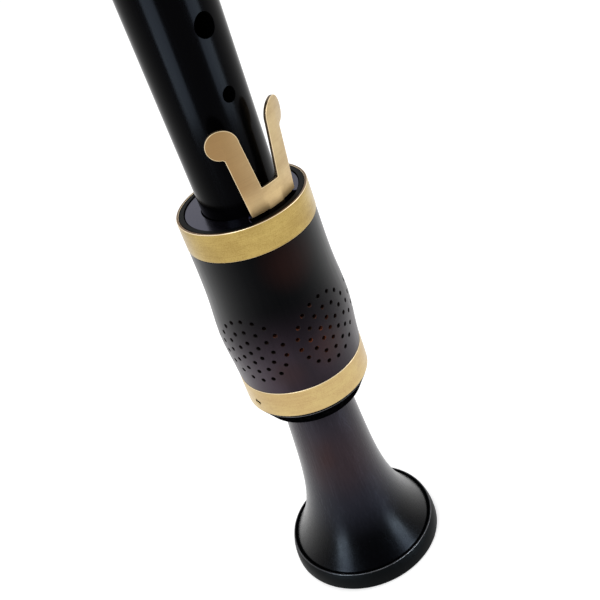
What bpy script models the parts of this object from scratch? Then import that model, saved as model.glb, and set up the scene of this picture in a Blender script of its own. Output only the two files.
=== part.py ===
"""Bass recorder of Renaissance form, with a pierced fontanelle over a swallow-tail key.

The instrument stands on its bell. The bore lies on the Z axis, the head is up and the
finger holes face -Y. The origin is the centre of the bell's flat end.
"""
import math

import bmesh
import bpy
from mathutils import Matrix, Vector

# Every length below is in millimetres and every angle in degrees.
MM = 0.001
SEGMENTS = 30
CORK_SEGMENTS = 24
SMALL_SEGMENTS = 12
SCREW_SEGMENTS = 10

# Clearances
REST_GAP = 0.3
SEAT_GAP = 0.2
RUNNING_GAP = 0.08
SLIDING_GAP = 0.35
KEY_SLOT_GAP = 0.9
CUTTER_REACH = 3.0

# Foot joint with its bell
BELL_RADIUS = 41.4
BELL_LENGTH = 109.6
BELL_BAND_HEIGHT = 9.6
BELL_BAND_TOP_RADIUS = 38.9
BELL_EDGE_ROUND = 1.6
BELL_BAND_SHOULDER = 2.6
BELL_BAND_LEAN = 0.2
BELL_GROOVE_WIDTH = 0.8
BELL_GROOVE_DEPTH = 1.0
BELL_MOUTH_RADIUS = 33.0
NECK_RADIUS = 17.8
NECK_SWELL = 5.3
FLARE_POWER = 4.8
MOUTH_POWER = 3.2
FLARE_POINTS = 8
MOUTH_POINTS = 5
COLLAR_RADIUS = 30.4
COLLAR_BAND_HEIGHT = 1.6
COLLAR_WAIST_RADIUS = 25.6
COLLAR_HEIGHT = 9.6
SPIGOT_HEIGHT = 6.0
FOOT_SOCKET_DEPTH = 27.8
FOOT_SOCKET_RIM = 21.0
FOOT_SOCKET_WALL = 5.0

# Bore
BORE_FOOT_RADIUS = 10.0
BORE_HEAD_RADIUS = 13.0

# Body joint
BODY_LENGTH = 500.0
BODY_FOOT_RADIUS = 17.45
BODY_HEAD_RADIUS = 23.2
BODY_BOW = 0.35
BODY_POINTS = 4
FOOT_TENON_RADIUS = 14.5
HEAD_TENON_RADIUS = 16.2
HEAD_TENON_LENGTH = 30.0

# Cork lappings on the tenons
CORK_THICKNESS = 1.2
CORK_PROUD = 0.4
CORK_LENGTH = 16.0
CORK_INSET = 6.0

# Finger holes, as heights above the body's lower shoulder
HOLE_SIX_HEIGHT = 136.3
HOLE_FIVE_HEIGHT = 165.8
HOLE_FOUR_HEIGHT = 200.0
HOLE_THREE_HEIGHT = 322.0
HOLE_TWO_HEIGHT = 362.0
HOLE_ONE_HEIGHT = 402.0
THUMB_HOLE_HEIGHT = 428.0
SMALL_HOLE_RADIUS = 3.25
LARGE_HOLE_RADIUS = 4.95
THUMB_HOLE_RADIUS = 4.2
HOLE_SLANT = 20.0

# Fontanelle, a pierced barrel with a brass ring at each end
FONTANELLE_LENGTH = 105.0
FONTANELLE_TOP_RADIUS = 31.0
FONTANELLE_FOOT_RADIUS = 31.5
FONTANELLE_BORE_RADIUS = 26.6
FONTANELLE_SWELL = 1.7
FONTANELLE_SWELL_HEIGHT = 41.0
FONTANELLE_SWELL_REACH = 17.5
FONTANELLE_POINTS = 9
RING_HEIGHT = 14.6
RING_WALL = 1.2
RING_EDGE = 0.35
WOOD_BELOW_RING = 0.2
DISC_RADIUS = 27.0
DISC_THICKNESS = 4.2
DISC_RECESS = 0.5
RING_SCREW_RADIUS = 1.9
RING_SCREW_AZIMUTH = -92.0
RING_SCREW_HEIGHT = 6.2
RING_SCREW_SLOT = 0.7
RING_SCREW_SLOT_DEPTH = 0.7
RING_SCREW_SINK = 0.15
RING_SCREW_FLOOR = 0.9
RING_SCREW_SIDES = 16

# Rosettes, each a centre hole and rings of 6, 12 and 18 holes
ROSETTE_COUNT = 5
ROSETTE_RINGS = 3
ROSETTE_RADIUS = 17.4
ROSETTE_HEIGHT = 40.8
ROSETTE_HOLE_RADIUS = 1.05
ROSETTE_HOLE_SIDES = 6

# Swallow-tail touch, a curved brass plate
TOUCH_THICKNESS = 1.6
TOUCH_RADIUS = 25.7
TOUCH_BEND_RADIUS = 37.4
TOUCH_LEAN = 2.8
TOUCH_BASE_HALF_WIDTH = 13.2
TOUCH_NOTCH_HALF_WIDTH = 16.5
TOUCH_NOTCH_HEIGHT = 30.8
TOUCH_CROTCH_HEIGHT = 12.0
TOUCH_CROTCH_HALF_WIDTH = 4.9
TOUCH_LOBE_RADIUS = 6.4
TOUCH_LOBE_OFFSET = 16.4
TOUCH_LOBE_HEIGHT = 37.4
TOUCH_SHOULDER_RADIUS = 8.2
TOUCH_STEM_HALF_WIDTH = 4.6
TOUCH_WIDE_DEPTH = 2.4
TOUCH_STEM_SLOPE = 1.6
TOUCH_SLICE = 3.7
TOUCH_TAIL_HALF_WIDTH = 4.0
TOUCH_TAIL_THICKNESS = 1.4
TOUCH_TAIL_BEND = 5.0

# Flap that closes the lowest tone hole
FLAP_THICKNESS = 1.4
FLAP_HALF_WIDTH = 4.4
FLAP_ARM_HALF_WIDTH = 3.2
CUP_WALL = 0.9
PAD_LIFT = 3.0
PAD_RADIUS = 6.6
PAD_THICKNESS = 2.6
CUP_RIM = 0.8
CUP_EDGE = 0.5
PAD_EDGE = 0.5
TONE_HOLE_RADIUS = 4.4

# Pivots, saddles, springs and screws of the key
KEY_BED_DEPTH = 1.3
KEY_BED_HALF_WIDTH = 7.9
TONE_HOLE_HEIGHT = 17.5
TOUCH_PIVOT_DROP = 11.8
FLAP_ARM_SHARE = 0.44
FLAP_TAIL_SHARE = 0.2
TOUCH_PIVOT_OFFSET = 5.7
FLAP_PIVOT_OFFSET = 3.9
KNUCKLE_RADIUS = 2.3
KNUCKLE_HALF_WIDTH = 4.8
AXLE_RADIUS = 1.0
EAR_THICKNESS = 1.8
SADDLE_BASE = 1.0
SADDLE_HALF_LENGTH = 7.4
SADDLE_STOP_LENGTH = 10.8
SADDLE_SCREW_REACH = 5.4
EAR_HALF_LENGTH = 3.0
SPRING_THICKNESS = 0.4
SPRING_HALF_WIDTH = 2.0
SPRING_PAD_CLEARANCE = 2.6
SCREW_RADIUS = 1.0
SCREW_HEAD_RADIUS = 1.8
SCREW_HEAD_HEIGHT = 0.8
SCREW_LENGTH = 4.4
SCREW_SLOT = 0.5

# Head joint, block and cap
HEAD_TOP_RADIUS = 21.6
HEAD_SOCKET_RADIUS = 24.4
HEAD_SOCKET_SLOPE = 0.6
HEAD_SHOULDER_HEIGHT = 12.0
HEAD_TAPER_HEIGHT = 60.0
HEAD_RING_HEIGHT = 13.0
LABIUM_HEIGHT = 239.2
LABIUM_STEP = 0.4
WINDOW_LENGTH = 12.5
WINDOW_WIDTH = 15.0
WINDWAY_HEIGHT = 1.8
WINDWAY_STEP = 0.6
LABIUM_LENGTH = 42.0
WINDWAY_LENGTH = 70.3
BLOCK_FLOOR = 4.0
CAP_TENON_LENGTH = 36.0
CAP_TENON_RADIUS = 18.4
CAP_CORK_INSET = 8.0
CAP_LENGTH = 88.0
CAP_PROUD = 1.2
CAP_WAIST_DEPTH = 1.6
CAP_BEAD = 0.8
CAP_BEAD_HEIGHT = 8.0
CAP_CAVITY_HEIGHT = 58.0
CAP_RING_HEIGHT = 10.0
CAP_DOME_HEIGHT = 9.0
CAP_KNOB_RADIUS = 6.0
CAP_KNOB_HEIGHT = 7.0
BLOW_HOLE_RADIUS = 3.6
BLOW_HOLE_HEIGHT = 50.0

# Levels along the bore, from the bell's end up
COLLAR_TOP = BELL_LENGTH + COLLAR_HEIGHT
FOOT_SHOULDER = COLLAR_TOP + FOOT_SOCKET_RIM
FOOT_SOCKET_FLOOR = FOOT_SHOULDER - FOOT_SOCKET_DEPTH
BODY_FOOT = FOOT_SHOULDER + REST_GAP
BODY_HEAD = BODY_FOOT + BODY_LENGTH
BODY_END = BODY_HEAD + HEAD_TENON_LENGTH
TENON_FOOT = FOOT_SOCKET_FLOOR + REST_GAP
FONTANELLE_FOOT = COLLAR_TOP + REST_GAP
FONTANELLE_TOP = FONTANELLE_FOOT + FONTANELLE_LENGTH
DISC_TOP = FONTANELLE_TOP - DISC_RECESS
DISC_FOOT = DISC_TOP - DISC_THICKNESS
HEAD_FOOT = BODY_HEAD + REST_GAP
LABIUM = HEAD_FOOT + LABIUM_HEIGHT
WINDOW_TOP = LABIUM + WINDOW_LENGTH
HEAD_END = WINDOW_TOP + WINDWAY_LENGTH
HEAD_SHOULDER = HEAD_END - CAP_TENON_LENGTH
CAP_FOOT = HEAD_SHOULDER + REST_GAP
CAP_CORK = HEAD_SHOULDER + CAP_CORK_INSET

# Key places, as distances to the front of the bore's axis and levels along it. The touch
# hangs from the disc, and the two levers share the way from its pivot to the tone hole.
TONE_HOLE_LEVEL = BODY_FOOT + TONE_HOLE_HEIGHT
TOUCH_PIVOT_LEVEL = DISC_FOOT - TOUCH_PIVOT_DROP
KEY_REACH = TOUCH_PIVOT_LEVEL - TONE_HOLE_LEVEL
FLAP_ARM = FLAP_ARM_SHARE * KEY_REACH
FLAP_TAIL = FLAP_TAIL_SHARE * KEY_REACH
FLAP_PIVOT_LEVEL = TONE_HOLE_LEVEL + FLAP_ARM
TOUCH_TAIL = KEY_REACH - FLAP_ARM - FLAP_TAIL
SPRING_REACH = FLAP_ARM - PAD_RADIUS - SPRING_PAD_CLEARANCE
FLAP_ANGLE = math.degrees(math.asin(PAD_LIFT / FLAP_ARM))
TOUCH_ANGLE = FLAP_ANGLE * FLAP_TAIL / TOUCH_TAIL


def body_radius(level):
    """Outer radius of the body tube, a slow taper with a slight bow."""
    share = (level - BODY_FOOT) / BODY_LENGTH
    bowed = share + BODY_BOW * share * (1.0 - share)
    return BODY_FOOT_RADIUS + (BODY_HEAD_RADIUS - BODY_FOOT_RADIUS) * bowed


def bore_radius(level):
    """Radius of the conical bore between the foot's socket floor and the head."""
    share = (level - FOOT_SOCKET_FLOOR) / (BODY_END - FOOT_SOCKET_FLOOR)
    return BORE_FOOT_RADIUS + (BORE_HEAD_RADIUS - BORE_FOOT_RADIUS) * share


KEY_BED = body_radius(TONE_HOLE_LEVEL) - KEY_BED_DEPTH
TOUCH_PIVOT = KEY_BED + TOUCH_PIVOT_OFFSET
FLAP_PIVOT = KEY_BED + FLAP_PIVOT_OFFSET
SADDLE_TOP = KEY_BED + SEAT_GAP + SADDLE_BASE
TAIL_MIDDLE = SADDLE_TOP + REST_GAP + 0.5 * TOUCH_TAIL_THICKNESS
TAIL_TOP = SADDLE_TOP + REST_GAP + TOUCH_TAIL_THICKNESS
PAD_FACE = KEY_BED + REST_GAP
CUP_FLOOR = PAD_FACE + PAD_THICKNESS + SEAT_GAP
CUP_TOP = CUP_FLOOR + FLAP_THICKNESS


def finish(name, color, roughness, metallic=0.0):
    """A plain Principled BSDF finish."""
    material = bpy.data.materials.new(name)
    material.use_nodes = True
    shader = material.node_tree.nodes["Principled BSDF"]
    shader.inputs["Base Color"].default_value = (*color, 1.0)
    shader.inputs["Roughness"].default_value = roughness
    shader.inputs["Metallic"].default_value = metallic
    material.diffuse_color = (*color, 1.0)
    return material


def shaped(name, mesh_data, material, place=(0.0, 0.0, 0.0)):
    """An object from a bmesh, smooth where its faces meet at a shallow angle."""
    bmesh.ops.recalc_face_normals(mesh_data, faces=mesh_data.faces)
    mesh = bpy.data.meshes.new(name)
    mesh_data.to_mesh(mesh)
    mesh_data.free()
    mesh.shade_smooth()
    mesh.set_sharp_from_angle(angle=math.radians(35.0))
    if material is not None:
        mesh.materials.append(material)
    piece = bpy.data.objects.new(name, mesh)
    piece.location = Vector(place)
    bpy.context.scene.collection.objects.link(piece)
    return piece


def turned(name, outline, material, base=0.0, segments=SEGMENTS):
    """A piece turned on the Z axis from (radius, level) points, with its origin at base."""
    mesh_data = bmesh.new()
    points = [mesh_data.verts.new((r * MM, 0.0, (z - base) * MM)) for r, z in outline]
    pairs = list(zip(points, points[1:]))
    meets_axis = outline[0][0] == 0.0 and outline[-1][0] == 0.0
    if not meets_axis:
        pairs.append((points[-1], points[0]))
    edges = [mesh_data.edges.new(pair) for pair in pairs]
    bmesh.ops.spin(
        mesh_data,
        geom=points + edges,
        cent=(0.0, 0.0, 0.0),
        axis=(0.0, 0.0, 1.0),
        angle=math.tau,
        steps=segments,
        use_merge=True,
    )
    bmesh.ops.remove_doubles(mesh_data, verts=mesh_data.verts, dist=1e-7)
    return shaped(name, mesh_data, material, (0.0, 0.0, base * MM))


def front_point(side, forward, level):
    """A point given by its place to the side, to the front and along the bore."""
    return Vector((side * MM, -forward * MM, level * MM))


def prism(name, outline, half_width, material, origin=(0.0, 0.0)):
    """A piece cut from a (forward, level) outline, with equal width to each side."""
    place = front_point(0.0, *origin)
    mesh_data = bmesh.new()
    points = [mesh_data.verts.new(front_point(-half_width, f, z) - place) for f, z in outline]
    face = mesh_data.faces.new(points)
    grown = bmesh.ops.extrude_face_region(mesh_data, geom=[face])
    far = [item for item in grown["geom"] if isinstance(item, bmesh.types.BMVert)]
    bmesh.ops.translate(mesh_data, verts=far, vec=(2.0 * half_width * MM, 0.0, 0.0))
    return shaped(name, mesh_data, material, place)


def box_outline(forward_low, forward_high, level_low, level_high):
    """Corners of a rectangle for prism."""
    return [
        (forward_low, level_low),
        (forward_high, level_low),
        (forward_high, level_high),
        (forward_low, level_high),
    ]


def rod(name, start, end, radius, material, segments=SMALL_SEGMENTS):
    """A round bar between two points."""
    along = end - start
    mesh_data = bmesh.new()
    bmesh.ops.create_cone(
        mesh_data,
        cap_ends=True,
        segments=segments,
        radius1=radius * MM,
        radius2=radius * MM,
        depth=along.length,
    )
    turn = Vector((0.0, 0.0, 1.0)).rotation_difference(along).to_matrix().to_4x4()
    bmesh.ops.transform(mesh_data, matrix=turn, verts=mesh_data.verts)
    return shaped(name, mesh_data, material, (start + end) * 0.5)


def combine(piece, tool, operation):
    """Adds a tool to a piece, or cuts it away, and hides the tool."""
    tool.hide_render = True
    tool.display_type = "WIRE"
    step = piece.modifiers.new(tool.name, "BOOLEAN")
    step.operation = operation
    step.solver = "EXACT"
    step.object = tool


def cut(piece, tool):
    combine(piece, tool, "DIFFERENCE")


def add(piece, tool):
    combine(piece, tool, "UNION")


def carrier(name, place):
    """An empty on a joint's axis, which the pieces of that joint hang from."""
    empty = bpy.data.objects.new(name, None)
    empty.location = place
    empty.empty_display_size = 0.02
    bpy.context.scene.collection.objects.link(empty)
    return empty


def hang(empty, *pieces):
    for piece in pieces:
        piece.location = piece.location - empty.matrix_world.translation
        piece.parent = empty


def arc(center_x, center_y, radius, start, end, steps):
    """Points on an arc, angles in degrees."""
    points = []
    for step in range(steps + 1):
        angle = math.radians(start + (end - start) * step / steps)
        points.append((center_x + radius * math.cos(angle), center_y + radius * math.sin(angle)))
    return points


def bevelled_ring(inner, foot_radius, top_radius, foot, top, edge):
    """Outline of a ring with small chamfers on its outer edges."""
    return [
        (inner, foot),
        (foot_radius - edge, foot),
        (foot_radius, foot + edge),
        (top_radius, top - edge),
        (top_radius - edge, top),
        (inner, top),
    ]


def make_cork(name, tenon_radius, low, material):
    """A sleeve of cork let into a groove of a tenon, standing a little proud."""
    inner = tenon_radius + CORK_PROUD - CORK_THICKNESS + SEAT_GAP
    outer = tenon_radius + CORK_PROUD
    high = low + CORK_LENGTH
    outline = [(inner, low), (outer, low), (outer, high), (inner, high)]
    return turned(name, outline, material, low, CORK_SEGMENTS)


def cork_groove(tenon_radius, low):
    """Outline points of the groove that holds a cork, from its lower edge up."""
    floor = tenon_radius + CORK_PROUD - CORK_THICKNESS
    under = low - SEAT_GAP
    over = low + CORK_LENGTH + SEAT_GAP
    return [(tenon_radius, under), (floor, under), (floor, over), (tenon_radius, over)]


def flare_radius(share):
    """Outer radius of the bell for a share of the height from its band to the collar."""
    left = 1.0 - share
    flare = BELL_BAND_TOP_RADIUS - NECK_RADIUS - NECK_SWELL
    return NECK_RADIUS + NECK_SWELL * left + flare * left ** FLARE_POWER


def make_foot(wood):
    band = BELL_BAND_HEIGHT
    edge = BELL_EDGE_ROUND
    outer = [(BELL_MOUTH_RADIUS, 0.0), (BELL_RADIUS - 1.4 * edge, 0.0)]
    outer += [(BELL_RADIUS - 0.4 * edge, 0.4 * edge), (BELL_RADIUS, 1.3 * edge)]
    overhang = BELL_RADIUS - BELL_BAND_TOP_RADIUS
    outer += [(BELL_RADIUS - BELL_BAND_LEAN, band - BELL_BAND_SHOULDER)]
    outer += [(BELL_RADIUS - 0.36 * overhang, band - 0.4 * BELL_BAND_SHOULDER)]
    outer += [(BELL_BAND_TOP_RADIUS, band)]
    outer += [(BELL_BAND_TOP_RADIUS - BELL_GROOVE_DEPTH, band + 0.1)]
    flare_foot = band + BELL_GROOVE_WIDTH
    for step in range(FLARE_POINTS + 1):
        share = (step / FLARE_POINTS) ** 1.4
        groove_side = 0.4 * BELL_GROOVE_DEPTH * (1.0 - share)
        level = flare_foot + share * (BELL_LENGTH - flare_foot)
        outer.append((flare_radius(share) - groove_side, level))
    spigot = FONTANELLE_BORE_RADIUS - REST_GAP
    socket = FOOT_TENON_RADIUS + CORK_PROUD + REST_GAP
    outer += [
        (COLLAR_WAIST_RADIUS, BELL_LENGTH),
        (COLLAR_RADIUS, COLLAR_TOP - COLLAR_BAND_HEIGHT),
        (COLLAR_RADIUS, COLLAR_TOP),
        (spigot, COLLAR_TOP),
        (spigot, COLLAR_TOP + SPIGOT_HEIGHT),
        (socket + FOOT_SOCKET_WALL, COLLAR_TOP + SPIGOT_HEIGHT),
        (socket + FOOT_SOCKET_WALL, FOOT_SHOULDER),
    ]
    inner = [(socket, FOOT_SHOULDER), (socket, FOOT_SOCKET_FLOOR)]
    for step in range(MOUTH_POINTS):
        share = step / MOUTH_POINTS
        width = BELL_MOUTH_RADIUS - BORE_FOOT_RADIUS
        level = FOOT_SOCKET_FLOOR * (1.0 - share) ** 1.5
        depth = level / FOOT_SOCKET_FLOOR
        inner.append((BORE_FOOT_RADIUS + width * (1.0 - depth) ** MOUTH_POWER, level))
    return turned("foot_joint", outer + inner, wood)


def make_body(wood):
    tenon = FOOT_TENON_RADIUS
    lower_cork = TENON_FOOT + CORK_INSET
    upper_cork = BODY_HEAD + CORK_INSET
    outline = [(bore_radius(TENON_FOOT), TENON_FOOT), (tenon, TENON_FOOT)]
    outline += cork_groove(tenon, lower_cork)
    outline += [(tenon, BODY_FOOT)]
    for step in range(BODY_POINTS + 1):
        level = BODY_FOOT + BODY_LENGTH * step / BODY_POINTS
        outline.append((body_radius(level), level))
    outline += [(HEAD_TENON_RADIUS, BODY_HEAD)]
    outline += cork_groove(HEAD_TENON_RADIUS, upper_cork)
    outline += [(HEAD_TENON_RADIUS, BODY_END), (bore_radius(BODY_END), BODY_END)]
    return turned("body_joint", outline, wood, BODY_FOOT)


def drill_hole(piece, name, level, radius, slant, facing=1.0):
    """Drills from the surface into the bore, slanting down towards the bell."""
    lean = math.radians(slant)
    surface = body_radius(level)
    inward = Vector((0.0, facing * math.cos(lean), -math.sin(lean)))
    start = front_point(0.0, facing * surface, level)
    depth = (surface - 0.4 * bore_radius(level)) / math.cos(lean)
    drill = rod(name, start - inward * 12.0 * MM, start + inward * depth * MM, radius, None)
    cut(piece, drill)


def drill_finger_holes(body):
    holes = [
        ("six", HOLE_SIX_HEIGHT, SMALL_HOLE_RADIUS, HOLE_SLANT),
        ("five", HOLE_FIVE_HEIGHT, LARGE_HOLE_RADIUS, HOLE_SLANT),
        ("four", HOLE_FOUR_HEIGHT, LARGE_HOLE_RADIUS, HOLE_SLANT),
        ("three", HOLE_THREE_HEIGHT, SMALL_HOLE_RADIUS, -HOLE_SLANT),
        ("two", HOLE_TWO_HEIGHT, LARGE_HOLE_RADIUS, -HOLE_SLANT),
        ("one", HOLE_ONE_HEIGHT, LARGE_HOLE_RADIUS, -HOLE_SLANT),
    ]
    for name, height, radius, slant in holes:
        drill_hole(body, "drill_" + name, BODY_FOOT + height, radius, slant)
    drill_hole(body, "drill_thumb", BODY_FOOT + THUMB_HOLE_HEIGHT, THUMB_HOLE_RADIUS, 0.0, -1.0)
    drill_hole(body, "drill_tone", TONE_HOLE_LEVEL, TONE_HOLE_RADIUS, 0.0)


def cut_key_bed(body):
    """A flat along the front of the tube, for the saddles and under the pad."""
    low = TONE_HOLE_LEVEL - PAD_RADIUS - 4.0
    high = DISC_FOOT - 1.5
    outline = box_outline(KEY_BED, KEY_BED + 14.0, low, high)
    cut(body, prism("bed_cutter", outline, KEY_BED_HALF_WIDTH, None))


def fontanelle_radius(level):
    """Outer radius of the barrel between its rings, which swells at the rosettes."""
    height = level - FONTANELLE_FOOT
    taper = (FONTANELLE_TOP_RADIUS - FONTANELLE_FOOT_RADIUS) * height / FONTANELLE_LENGTH
    from_swell = (height - FONTANELLE_SWELL_HEIGHT) / FONTANELLE_SWELL_REACH
    return FONTANELLE_FOOT_RADIUS + taper + FONTANELLE_SWELL * math.exp(-(from_swell ** 2))


def make_fontanelle(wood):
    seat = RING_WALL + REST_GAP
    foot_ring = FONTANELLE_FOOT + RING_HEIGHT + REST_GAP
    top_ring = FONTANELLE_TOP - RING_HEIGHT - REST_GAP
    rebate = DISC_RADIUS + REST_GAP
    ledge = DISC_FOOT - REST_GAP
    outline = [
        (FONTANELLE_BORE_RADIUS, FONTANELLE_FOOT),
        (FONTANELLE_FOOT_RADIUS - seat, FONTANELLE_FOOT),
        (FONTANELLE_FOOT_RADIUS - seat, foot_ring),
    ]
    for step in range(FONTANELLE_POINTS + 1):
        level = foot_ring + (top_ring - foot_ring) * step / FONTANELLE_POINTS
        outline.append((fontanelle_radius(level) - WOOD_BELOW_RING, level))
    outline += [
        (FONTANELLE_TOP_RADIUS - seat, top_ring),
        (FONTANELLE_TOP_RADIUS - seat, FONTANELLE_TOP),
        (rebate, FONTANELLE_TOP),
        (rebate, ledge),
        (FONTANELLE_BORE_RADIUS, ledge),
    ]
    barrel = turned("fontanelle", outline, wood, FONTANELLE_FOOT)
    cut(barrel, make_rosette_drills())
    return barrel


def make_rosette_drills():
    """All the rosettes' drills in one tool, every drill pointing at the bore's axis."""
    mesh_data = bmesh.new()
    level = FONTANELLE_FOOT + ROSETTE_HEIGHT
    surface = fontanelle_radius(level)
    radius = 0.5 * (FONTANELLE_BORE_RADIUS + surface)
    depth = surface - FONTANELLE_BORE_RADIUS + CUTTER_REACH
    for rosette in range(ROSETTE_COUNT):
        middle = math.tau * rosette / ROSETTE_COUNT
        for ring in range(ROSETTE_RINGS + 1):
            ring_radius = ROSETTE_RADIUS * ring / ROSETTE_RINGS
            for hole in range(max(6 * ring, 1)):
                turn = math.tau * hole / max(6 * ring, 1)
                azimuth = middle + ring_radius * math.sin(turn) / surface
                place = front_point(0.0, radius, level + ring_radius * math.cos(turn))
                aim = Matrix.Rotation(azimuth, 4, "Z") @ Matrix.Translation(place)
                aim = aim @ Matrix.Rotation(math.radians(90.0), 4, "X")
                bmesh.ops.create_cone(
                    mesh_data,
                    cap_ends=True,
                    segments=ROSETTE_HOLE_SIDES,
                    radius1=ROSETTE_HOLE_RADIUS * MM,
                    radius2=ROSETTE_HOLE_RADIUS * MM,
                    depth=depth * MM,
                    matrix=aim,
                )
    return shaped("rosette_drills", mesh_data, None)


def make_rings(brass):
    upper_inner = FONTANELLE_TOP_RADIUS - RING_WALL
    upper = turned(
        "upper_ring",
        bevelled_ring(
            upper_inner,
            FONTANELLE_TOP_RADIUS,
            FONTANELLE_TOP_RADIUS,
            FONTANELLE_TOP - RING_HEIGHT,
            FONTANELLE_TOP,
            RING_EDGE,
        ),
        brass,
        FONTANELLE_TOP - RING_HEIGHT,
    )
    lower_inner = FONTANELLE_FOOT_RADIUS - RING_WALL
    lower = turned(
        "lower_ring",
        bevelled_ring(
            lower_inner,
            FONTANELLE_FOOT_RADIUS,
            FONTANELLE_FOOT_RADIUS,
            FONTANELLE_FOOT,
            FONTANELLE_FOOT + RING_HEIGHT,
            RING_EDGE,
        ),
        brass,
        FONTANELLE_FOOT,
    )
    return upper, lower


def make_ring_screw(barrel, ring, brass):
    """A screw filed flush with the lower ring, so that only its slot shows."""
    turn = Matrix.Rotation(math.radians(RING_SCREW_AZIMUTH), 4, "Z")
    level = FONTANELLE_FOOT + RING_SCREW_HEIGHT
    head = FONTANELLE_FOOT_RADIUS - RING_SCREW_SINK
    tip = FONTANELLE_BORE_RADIUS + RING_SCREW_FLOOR
    outer = turn @ front_point(0.0, head, level)
    inner = turn @ front_point(0.0, tip, level)
    screw = rod("ring_screw", inner, outer, RING_SCREW_RADIUS, brass, RING_SCREW_SIDES)
    beyond = turn @ front_point(0.0, FONTANELLE_FOOT_RADIUS + CUTTER_REACH, level)
    floor = turn @ front_point(0.0, tip - SEAT_GAP, level)
    hole_radius = RING_SCREW_RADIUS + SEAT_GAP
    cut(ring, rod("ring_drill", floor, beyond, hole_radius, None, RING_SCREW_SIDES))
    cut(barrel, rod("barrel_drill", floor, beyond, hole_radius, None, RING_SCREW_SIDES))
    half_slot = 0.5 * RING_SCREW_SLOT
    outline = box_outline(head - RING_SCREW_SLOT_DEPTH, head + CUTTER_REACH, -half_slot, half_slot)
    slot = prism("ring_screw_slot", outline, RING_SCREW_RADIUS + CUTTER_REACH, None)
    slot.rotation_euler = (0.0, 0.0, math.radians(RING_SCREW_AZIMUTH))
    slot.location = (0.0, 0.0, level * MM)
    cut(screw, slot)
    return screw


def make_disc(wood):
    hole = body_radius(DISC_TOP) + SLIDING_GAP
    outline = [(hole, DISC_FOOT), (DISC_RADIUS, DISC_FOOT), (DISC_RADIUS, DISC_TOP), (hole, DISC_TOP)]
    disc = turned("fontanelle_disc", outline, wood, DISC_FOOT)
    swing = (DISC_TOP - TOUCH_PIVOT_LEVEL) * math.sin(math.radians(TOUCH_ANGLE))
    behind = TOUCH_THICKNESS + swing + KEY_SLOT_GAP + REST_GAP
    ahead = DISC_RADIUS - TOUCH_RADIUS + CUTTER_REACH
    half = TOUCH_BASE_HALF_WIDTH + KEY_SLOT_GAP
    low = DISC_FOOT - FONTANELLE_TOP - CUTTER_REACH
    outline = [(-half, low), (half, low), (half, CUTTER_REACH), (-half, CUTTER_REACH)]
    cut(disc, bent_plate("key_slot", outline, ahead, behind, None, (0.0, 0.0)))
    return disc


def bent_plate(name, outline, ahead, behind, material, origin):
    """A plate from a (side, height) outline, bent round an upright axis like the touch.

    The heights start at the fontanelle's top. The plate reaches from a given distance in
    front of the touch's outer face to a given distance behind it.
    """
    place = front_point(0.0, *origin)
    mesh_data = bmesh.new()
    mesh_data.faces.new([mesh_data.verts.new((s * MM, 0.0, v * MM)) for s, v in outline])
    widest = max(s for s, v in outline)
    slices = int(widest / TOUCH_SLICE)
    for index in range(-slices, slices + 1):
        everything = mesh_data.verts[:] + mesh_data.edges[:] + mesh_data.faces[:]
        bmesh.ops.bisect_plane(
            mesh_data,
            geom=everything,
            dist=1e-6,
            plane_co=(index * TOUCH_SLICE * MM, 0.0, 0.0),
            plane_no=(1.0, 0.0, 0.0),
        )
    grown = bmesh.ops.extrude_face_region(mesh_data, geom=mesh_data.faces[:])
    far = {item for item in grown["geom"] if isinstance(item, bmesh.types.BMVert)}
    lean = math.radians(TOUCH_LEAN)
    up = Vector((0.0, -math.sin(lean), math.cos(lean)))
    out = Vector((0.0, -math.cos(lean), -math.sin(lean)))
    foot = front_point(0.0, TOUCH_RADIUS, FONTANELLE_TOP)
    for vert in mesh_data.verts:
        depth = -behind if vert in far else ahead
        angle = vert.co.x / (TOUCH_BEND_RADIUS * MM)
        reach = (TOUCH_BEND_RADIUS + depth) * MM
        forward = reach * math.cos(angle) - TOUCH_BEND_RADIUS * MM
        side = Vector((reach * math.sin(angle), 0.0, 0.0))
        vert.co = foot + side + out * forward + up * vert.co.z - place
    return shaped(name, mesh_data, material, place)


def touch_outline():
    """The swallow-tail's outline, drawn for one half and mirrored."""
    lobe_x = TOUCH_LOBE_OFFSET
    lobe_y = TOUCH_LOBE_HEIGHT
    shoulder_y = lobe_y + TOUCH_LOBE_RADIUS - TOUCH_SHOULDER_RADIUS
    stem_foot = TOUCH_PIVOT_LEVEL - FONTANELLE_TOP - 1.0
    half = [(TOUCH_CROTCH_HALF_WIDTH, TOUCH_CROTCH_HEIGHT)]
    half += arc(lobe_x, shoulder_y, TOUCH_SHOULDER_RADIUS, 180.0, 90.0, 4)
    half += arc(lobe_x, lobe_y, TOUCH_LOBE_RADIUS, 67.5, -82.0, 6)
    half += [
        (TOUCH_NOTCH_HALF_WIDTH, TOUCH_NOTCH_HEIGHT - 0.5),
        (TOUCH_BASE_HALF_WIDTH, 0.0),
        (TOUCH_BASE_HALF_WIDTH, -TOUCH_WIDE_DEPTH),
        (TOUCH_STEM_HALF_WIDTH, -TOUCH_WIDE_DEPTH - TOUCH_STEM_SLOPE),
        (TOUCH_STEM_HALF_WIDTH, stem_foot),
    ]
    return half + [(-x, y) for x, y in reversed(half)]


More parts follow.
